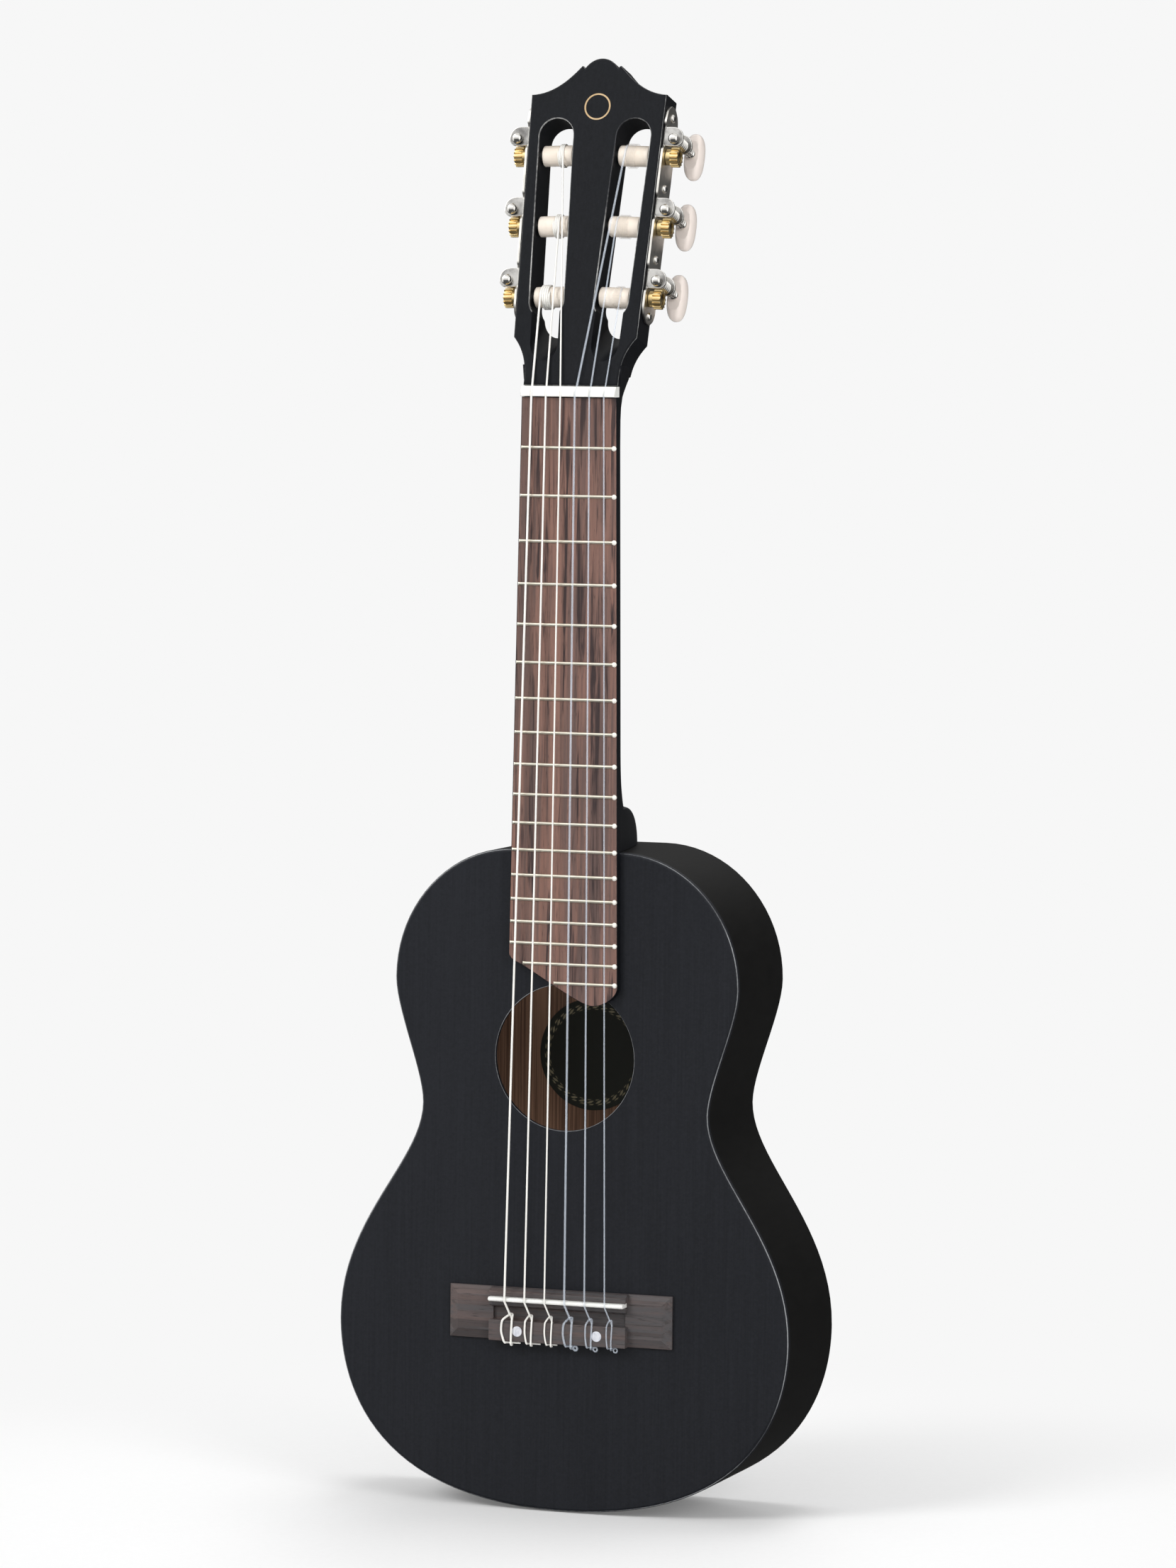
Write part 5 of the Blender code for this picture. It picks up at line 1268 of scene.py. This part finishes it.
def tuner_plate(side, name):
    bm = bmesh.new()
    bores = [circle((ROLLER_DEPTH, tuner_height(i)), 3.1 * MM, 24) for i in range(3)]
    plate(bm, plate_outline(), bores, 0.2 * MM, 1.4 * MM, 0.2 * MM, 0.2 * MM, 2)
    bm.transform(Matrix(((0, side, 0, 0), (1, 0, 0, 0), (0, 0, 1, 0), (0, 0, 0, 1))))
    for index in range(3):
        hole = circle((WORM_OUT, tuner_height(index) + WORM_UP), 1.9 * MM, 20)
        for depth in mm(2.4, 16.2):
            ear = bmesh.new()
            plate(ear, ear_outline(index), [hole], depth, depth + 1.2 * MM, 0.25 * MM, 0.25 * MM,
                  2, face=3, rear_face=3)
            if side < 0:
                ear.transform(Matrix.Scale(-1, 4, (1, 0, 0)))
            absorb(bm, ear)
    for height in (-43.2, -15.4, 19.6, 54.4):
        screw_head(bm, mm(side * 1.4, 9.2, height), side)
    paint([face for face in bm.faces if face.material_index == 0
           and abs(face.calc_center_median().x) < 1.5 * MM], 2)
    return piece("machine_plate_" + name, bm, (NICKEL, DARK_SCREW_AND_RECESS_SHADE, PLATE_NICKEL, EAR_NICKEL),
                 "frame", ("tuner_plate_" + name,), tuner_frame(side), 40)


print("plates:", [len(tuner_plate(s, n).data.polygons) for s, n in ((1, "treble"), (-1, "bass"))])

# %% [markdown]
# The worm is turned first: a ball in front, a shaft through the ears, and a stem with five rings.
# Its thread is a short profile that the spin operator carries round the axis, moving it along by
# one tooth's pitch each turn. The thread then overlaps the shaft, as one machined piece.

# %% Worm shafts
GEAR_TEETH = 14
PITCH_RADIUS = 7.5 - (3.1 + 2.25) / 2 - 0.2
TOOTH_PITCH = 2 * pi * PITCH_RADIUS / GEAR_TEETH * MM


def worm_place(side, index):
    height = tuner_height(index) + WORM_UP
    return tuner_frame(side) @ Matrix.Translation((side * WORM_OUT, 0, height)) @ Matrix.Rotation(
        -pi / 2, 4, "X")


def thread(bm, start, end):
    """A helical ridge round a core, with a groove facing the gear's tooth."""
    shape = [(2.2, 1.0), (2.2, 0.72), (2.9, 0.6), (3.08, 0.54), (3.08, 0.46), (2.9, 0.4),
             (2.2, 0.28), (2.2, 0.0)]
    turns, steps = 9, 20
    part = bmesh.new()
    points = [part.verts.new((r * MM, 0, share * TOOTH_PITCH)) for r, share in shape]
    edges = [part.edges.new(pair) for pair in zip(points, points[1:])]
    bmesh.ops.spin(part, geom=points + edges, cent=(0, 0, 0), axis=(0, 0, 1),
                   dvec=(0, 0, TOOTH_PITCH / steps), angle=2 * pi * turns, steps=turns * steps)
    bmesh.ops.translate(part, vec=(0, 0, ROLLER_DEPTH - TOOTH_PITCH * 4.25), verts=part.verts)
    bmesh.ops.remove_doubles(part, verts=part.verts, dist=0.005 * MM)
    cut_off(part, start, -1)
    cut_off(part, end, 1)
    close_holes(part)
    absorb(bm, part)


def worm_shaft(side, index, number):
    ball = [(2.65 * cos(radians(a)), 0.9 - 2.65 * sin(radians(a))) for a in range(-27, 90, 9)]
    beads = []
    for centre, radius in ((27.3, 2.4), (24.9, 2.05), (22.9, 2.05), (20.9, 2.05), (18.6, 2.4)):
        half = 0.9 if radius < 2.4 else 1.1
        beads += [(radius - 0.75 * (1 - cos(radians(a))), centre - half * sin(radians(a)))
                  for a in (-80, -50, -20, 20, 50, 80)]
    stem = [(0, 28.5), (1.7, 28.5)] + beads + [(1.6, 17.5), (1.6, 2.1)]
    bm = bmesh.new()
    turned(bm, stem + ball + [(0, -1.75)], 32)
    thread(bm, 3.9 * MM, 15.9 * MM)
    return piece("worm_shaft_%d" % number, bm, (NICKEL,), "worm_body_%d" % number,
                 ("worm_%d" % number,), worm_place(side, index), 40)


print("worm faces:", [len(worm_shaft(*place).data.polygons) for place in PLACES])

# %% [markdown]
# The button is an oval paddle, nearly flat on both sides and round at its edges, a little thinner
# at its outer end. A sphere is swelled towards a rounded box and stretched to size. It is trimmed
# flat where it meets the stem.

# %% Buttons
HALF_THICK, HALF_LONG, HALF_WIDE = 4.4, 11.4, 6.0


def finger_button(side, index, number):
    bm = bmesh.new()
    bmesh.ops.create_uvsphere(bm, u_segments=56, v_segments=36, radius=1.0,
                              matrix=Matrix.Rotation(pi / 2, 4, "X"))
    for vert in bm.verts:
        x, y, z = vert.co
        girth = (x * x + z * z) ** 0.5
        reach = (abs(x) ** 3.2 + abs(z) ** 3.2) ** (1 / 3.2)
        square = 1 / (abs(y) ** 2.5 + girth ** 2.5) ** 0.4
        swell = square * girth / reach if reach > 0.001 else 1.0
        thick = HALF_THICK - 0.4 * max(z, 0.0)
        vert.co = mm(x * swell * thick, y * square * HALF_LONG, z * swell * HALF_WIDE)
    bmesh.ops.translate(bm, vec=(0, 0, 33.9 * MM), verts=bm.verts)
    cut_off(bm, 28.65 * MM, -1)
    close_holes(bm)
    return piece("finger_button_%d" % number, bm, (BUTTON_CREAM,), "worm_body_%d" % number,
                 ("button_%d" % number,), worm_place(side, index), 50)


print("button faces:", [len(finger_button(*place).data.polygons) for place in PLACES])

# %% [markdown]
# The gear has fourteen straight teeth, a smooth bush beside them and a dark screw in its end. The
# roller behind it is a cream sleeve with a bright pin through it.

# %% Gears and rollers


def roller_place(side, index):
    return (tuner_frame(side) @ Matrix.Translation((0, ROLLER_DEPTH, tuner_height(index)))
            @ Matrix.Rotation(side * pi / 2, 4, "Y"))


def gear_outline():
    loop = []
    for tooth in range(GEAR_TEETH):
        for share, radius in ((-0.34, 4.0), (-0.22, 4.1), (-0.13, 4.7), (-0.08, 4.88),
                              (0.08, 4.88), (0.13, 4.7), (0.22, 4.1), (0.34, 4.0)):
            angle = 2 * pi * (tooth + share) / GEAR_TEETH
            loop.append(mm(radius * cos(angle), radius * sin(angle)))
    return loop


def brass_gear(side, index, number):
    bm = bmesh.new()
    plate(bm, gear_outline(), [circle((0, 0), 2.6 * MM, 32)], -8.0 * MM, -3.8 * MM, 0.3 * MM,
          0.3 * MM, 2)
    bm.transform(Matrix.Rotation(-pi / 2, 4, "X"))
    turned(bm, [(0, 4.1), (3.7, 4.1), (3.9, 3.9), (3.9, 1.8), (3.7, 1.6), (0, 1.6)], 36)
    turned(bm, [(0, 7.1), (2.3, 7.1), (2.5, 6.9), (2.62, 4.0), (0, 4.0)], 28, material=1)
    block(bm, mm(-2.2, -0.3, 6.9), mm(2.2, 0.3, 7.25), 0.05 * MM, material=1)
    return piece("brass_gear_%d" % number, bm, (BRASS, DARK_SCREW_AND_RECESS_SHADE), "roller_body_%d" % number,
                 ("gear_%d" % number,), roller_place(side, index), 38)


def string_roller(side, index, number):
    along = roller_at(index)
    middle = (slot_x(along) - head_half_width(along)) / MM
    sleeve = [(0, middle + 7.7), (4.6, middle + 7.7), (5, middle + 7.3), (5, middle - 7.3),
              (4.6, middle - 7.7), (0, middle - 7.7)]
    pin = [(0, 1.4), (2.7, 1.4), (2.7, middle - 11.5), (2.3, middle - 11.7), (0, middle - 11.7)]
    bm = bmesh.new()
    turned(bm, sleeve, 48)
    turned(bm, pin, 24, material=1)
    return piece("string_roller_%d" % number, bm, (ROLLER_CREAM, NICKEL),
                 "roller_body_%d" % number, ("roller_%d" % number,),
                 roller_place(side, index), 35)


for place in PLACES:
    brass_gear(*place)
    string_roller(*place)

# %% [markdown]
# ## The strings
#
# Each string starts as a tail behind the bridge, ties round itself in front of the tie block,
# runs through its hole, over the saddle and the nut, and winds on its roller. The knot's bends
# are listed points, smoothed with a curve through all of them. The whole string is one curve
# object with a round bevel, in two stretches, so that the winding can have its own finish.

# %% Tie, path and winding


def through(points, steps):
    """A smooth curve through every point."""
    padded = [2 * points[0] - points[1]] + points + [2 * points[-1] - points[-2]]
    route = []
    for p0, p1, p2, p3 in zip(padded, padded[1:], padded[2:], padded[3:]):
        for i in range(steps):
            t = i / steps
            route.append(0.5 * (2 * p1 + (p2 - p0) * t + (2 * p0 - 5 * p1 + 4 * p2 - p3) * t ** 2
                                + (3 * p1 - p0 - 3 * p2 + p3) * t ** 3))
    return route + [points[-1]]


# How far to the left of its string each loop's left leg lies on the tie block, in mm
LEFT_LEG = (0.0, -0.5, -1.6, -0.9, -0.8, -2.6)
LIE = 0.12


def curl(start, size, rise):
    """A loose end of clear nylon that curls round on itself, ending at start."""
    turns = [radians(a) for a in range(420, -1, -30)]
    return [start + Vector((size * sin(a), rise * a / 8, -size * (1 - cos(a))))
            for a in turns[:-1]]


def knot(number):
    radius = DIAMETERS[number - 1] / 2
    straight = saddle_point(number).x / MM
    x = straight + TIE_SHIFT
    leg = straight + LEFT_LEG[number - 1]
    lie = radius / MM + LIE
    corner, lap = 0.78 * lie, 2 * radius / MM + LIE
    top, front, rear, hole = -3.0, -443.4, BRIDGE_REAR, TIE_HOLE
    tail_y, tail_z = top + 1.6, rear - lie
    neck = x - 2 * radius / MM - 0.25
    end = x + (5.0 if number > 4 else 3.4)
    tail = [(end, tail_y + 0.3, tail_z), (x + 2.6, tail_y + 0.1, tail_z)]
    if number < 4:
        tail = [(x + 2.3, tail_y + 0.3, tail_z)]
        curled = curl(Vector(tail[0]) * MM, 1.0 * MM, 0.6 * MM)
    left = tail + [(x - 0.2, tail_y, tail_z), (mix(leg, x, 0.55), tail_y - 0.9, tail_z),
                   (mix(leg, x, 0.42), top - corner, rear - corner),
                   (mix(leg, x, 0.2), top - lie, rear + 1.6), (leg, top - lie, rear + 4.8),
                   (mix(leg, neck, 0.05), top - lie, front - 1.6),
                   (mix(leg, neck, 0.3), top - corner - 0.1, front + corner)]
    right = [(x + 1.25, top - corner, front + corner),
             (x + 1.15, top - lie, front - 2.2), (x + 0.95, top - lie, rear + 4.0),
             (x + 0.9, top - lie, rear + 0.3), (x + 0.9, top - 0.5, tail_z - 0.6 * lap),
             (x + 0.7, tail_y - 0.1, tail_z - lap), (x + 0.3, hole - 0.8, tail_z - 0.6 * lap),
             (x, hole - 0.15, rear - 0.9), (x, hole, rear - 0.1), (x, hole, rear + 1.5)]
    entry = Vector((x, hole, front)) * MM
    loop = loop_round(entry, saddle_point(number), 2 * radius + LIE * MM)
    points = [Vector(p) * MM for p in left] + loop + [Vector(p) * MM for p in right]
    if number < 4:
        points = curled + points
    return through(points, 4) + [entry]


def loop_round(start, end, radius):
    """Half a turn under a stretch of string, in a plane square to it."""
    along = (end - start).normalized()
    centre = start + along * 2.9 * MM
    side = (Vector((1, 0, 0)) - along * along.x).normalized()
    under = side.cross(along)
    return [centre - side * radius * cos(a) - under * radius * sin(a)
            for a in (pi * i / 6 for i in range(7))]


def winding(number):
    steps, end = 24, TURNS[number - 1]
    points = [winding_point(number, i / steps) for i in range(int(end * steps) + 1)]
    return points + [winding_point(number, end + i * 0.03, i * 0.5 * MM) for i in range(1, 6)]


def nylon_string(number):
    over_saddle = saddle_point(number)
    lead = knot(number) + [over_saddle, over_saddle + Vector((0, 0, 1.2 * MM)), nut_point(number)]
    coil = winding(number)
    data = bpy.data.curves.new("nylon_string_%d" % number, "CURVE")
    data.dimensions = "3D"
    data.bevel_depth = DIAMETERS[number - 1] / 2
    data.bevel_resolution = 4
    data.use_fill_caps = True
    for finish in (BASS_WIRE, BASS_WIRE) if number > 3 else (CLEAR_NYLON, WOUND_NYLON):
        data.materials.append(finish)
    # The clearer finish starts where the string has just met its roller.
    for index, stretch in enumerate((lead + coil[:4], coil[3:])):
        spline = data.splines.new("POLY")
        spline.points.add(len(stretch) - 1)
        for point, place in zip(spline.points, stretch):
            point.co = (*place, 1)
        spline.use_smooth = True
        spline.material_index = index
    made = bpy.data.objects.new("nylon_string_%d" % number, data)
    bpy.context.scene.collection.objects.link(made)
    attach(made, "frame")
    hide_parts("string_%d" % number)
    return lead + coil


for number in range(1, 7):
    route = nylon_string(number)
    length = sum((b - a).length for a, b in zip(route, route[1:]))
    print("string", number, "is", round(length / MM), "mm long from knot to roller")

# %% [markdown]
# ## Light and background
#
# The portrait has a plain pale background and soft light. The lamps light only the matt part of
# each surface. What the lacquer and the metal mirror is painted on the world instead: a dim room
# with a pale ceiling and two tall pale walls, left and right, which draw the thin lines of light
# along the edges. The camera itself sees a plain pale wall. Two small lamps inside the body stand
# for the light that a photographer would bounce in through the soundhole.

# %% World, floor and lamps
PALE = 0.93


def mixed(tree, factor, first, second):
    """Two shaders mixed, all given and returned as sockets."""
    mixer = tree.nodes.new("ShaderNodeMixShader")
    for socket, source in zip(mixer.inputs, (factor, first, second)):
        tree.links.new(source, socket)
    return mixer.outputs[0]


def glowing(tree, kind, brightness, strength):
    """An Emission or Background node's output."""
    node = tree.nodes.new("ShaderNode" + kind)
    node.inputs["Color"].default_value = (brightness, brightness, brightness, 1)
    plug(tree, strength, node.inputs["Strength"])
    return node.outputs[0]


def mirrored_room(tree):
    """How bright the room looks in a shiny surface, by direction."""
    place = tree.nodes.new("ShaderNodeTexCoord")
    split = tree.nodes.new("ShaderNodeSeparateXYZ")
    tree.links.new(place.outputs["Generated"], split.inputs[0])
    x, y, z = (Signal(tree, socket) for socket in split.outputs)
    ceiling = z.step(0.2, 0.75) * 0.8
    right = x.step(0.72, 0.9) * (1 - y.step(-0.1, 0.35)) * 1.1
    left = (0 - x).step(0.72, 0.92) * (1 - y.step(0.3, 0.6)) * 0.9
    front = (0 - y).step(0.1, 0.8) * z.step(-0.5, 0.2) * 0.85
    window = (z * 0.61 - x * 0.75 - y * 0.25).step(0.86, 0.93) * 1.6
    return ceiling + right + left + front + window + 0.08


def soft_world():
    world = bpy.data.worlds.new("pale_room")
    world.use_nodes = True
    tree = world.node_tree
    tree.nodes.remove(tree.nodes["Background"])
    rays = tree.nodes.new("ShaderNodeLightPath").outputs
    seen = Signal(tree, rays["Is Camera Ray"]) + Signal(tree, rays["Is Transmission Ray"])
    lit = mixed(tree, rays["Is Glossy Ray"], glowing(tree, "Background", 1, 0.5),
                glowing(tree, "Background", 1, mirrored_room(tree)))
    wall = glowing(tree, "Background", PALE, 1)
    tree.links.new(mixed(tree, seen.maths("MINIMUM", seen, 1.0).socket, lit, wall),
                   tree.nodes["World Output"].inputs["Surface"])
    bpy.context.scene.world = world


def floor_finish():
    """Matt and pale, and as bright as the wall where the camera sees it away from the middle."""
    finish = Finish("pale_floor", {"Roughness": 0.9, "Specular IOR Level": 0.1})
    tree = finish.tree
    speck = finish.noise(finish.even(400))
    colour = finish.blend(speck, (0.86, 0.86, 0.86), (0.9, 0.9, 0.9))
    plug(tree, colour, finish.shader.inputs["Base Color"])
    spot = finish.place()
    across, depth = finish.axis(spot, "X"), finish.axis(spot, "Y")
    far = ((across * across + depth * depth) ** 0.5).step(0.16, 0.5) * 0.85 + 0.15
    seen = Signal(tree, tree.nodes.new("ShaderNodeLightPath").outputs["Is Camera Ray"])
    floor = mixed(tree, (far * seen).socket, finish.shader.outputs[0],
                  glowing(tree, "Emission", PALE, 1))
    tree.links.new(floor, tree.nodes["Material Output"].inputs["Surface"])
    return finish.material


def floor_disc():
    bm = bmesh.new()
    low = CAD_BOX[0][2] - 0.5 * MM
    bmesh.ops.create_circle(bm, cap_ends=True, segments=96, radius=14.0,
                            matrix=Matrix.Translation((0, 0, low)))
    made = mesh_object("floor", bm, (floor_finish(),))
    made.visible_glossy = False
    made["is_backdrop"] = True
    return made


def lamp(name, place, size, watts, aim=(0, 0, -0.2)):
    data = bpy.data.lights.new(name, "AREA")
    data.shape = "DISK"
    data.size = size
    data.energy = watts
    made = bpy.data.objects.new(name, data)
    turn = (Vector(aim) - Vector(place)).to_track_quat("-Z", "Y").to_matrix().to_4x4()
    made.matrix_world = Matrix.Translation(place) @ turn
    made.visible_glossy = False
    bpy.context.scene.collection.objects.link(made)
    return made


soft_world()
floor_disc()
lamp("key_lamp", (-1.5, -2.4, 1.5), 1.3, 55)
lamp("fill_lamp", (2.2, -1.8, 0.9), 1.5, 32)
lamp("top_lamp", (0.2, 0.5, 2.2), 1.0, 16)
lamp("back_lamp", (-0.6, 2.6, 0.8), 1.6, 20)
for name, height in (("upper_inside_lamp", 62), ("lower_inside_lamp", -66)):
    spot = Vector((-26 * MM, TOP + 20 * MM, HOLE_Z + height * MM))
    inside = lamp(name, spot, 16 * MM, 0.017, (-20 * MM, BACK, HOLE_Z + 0.3 * height * MM))
    inside.visible_camera = False
bpy.context.scene.view_settings.view_transform = "Standard"

# %% [markdown]
# ## Sizes
#
# Both boxes, the imported model's and the visual model's, are printed. The visual model
# may not be larger than the imported one.

# %% Print the boxes and finish
DRESSED_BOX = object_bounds()
for name, box in (("cad", CAD_BOX), ("visual", DRESSED_BOX)):
    print(name, [[round(float(c) / MM, 1) for c in corner] for corner in box])
print("pieces made:", len(MADE) + len(DIAMETERS), "triangles without the strings:",
      sum(len(p.vertices) - 2 for m in MADE for p in m.data.polygons))
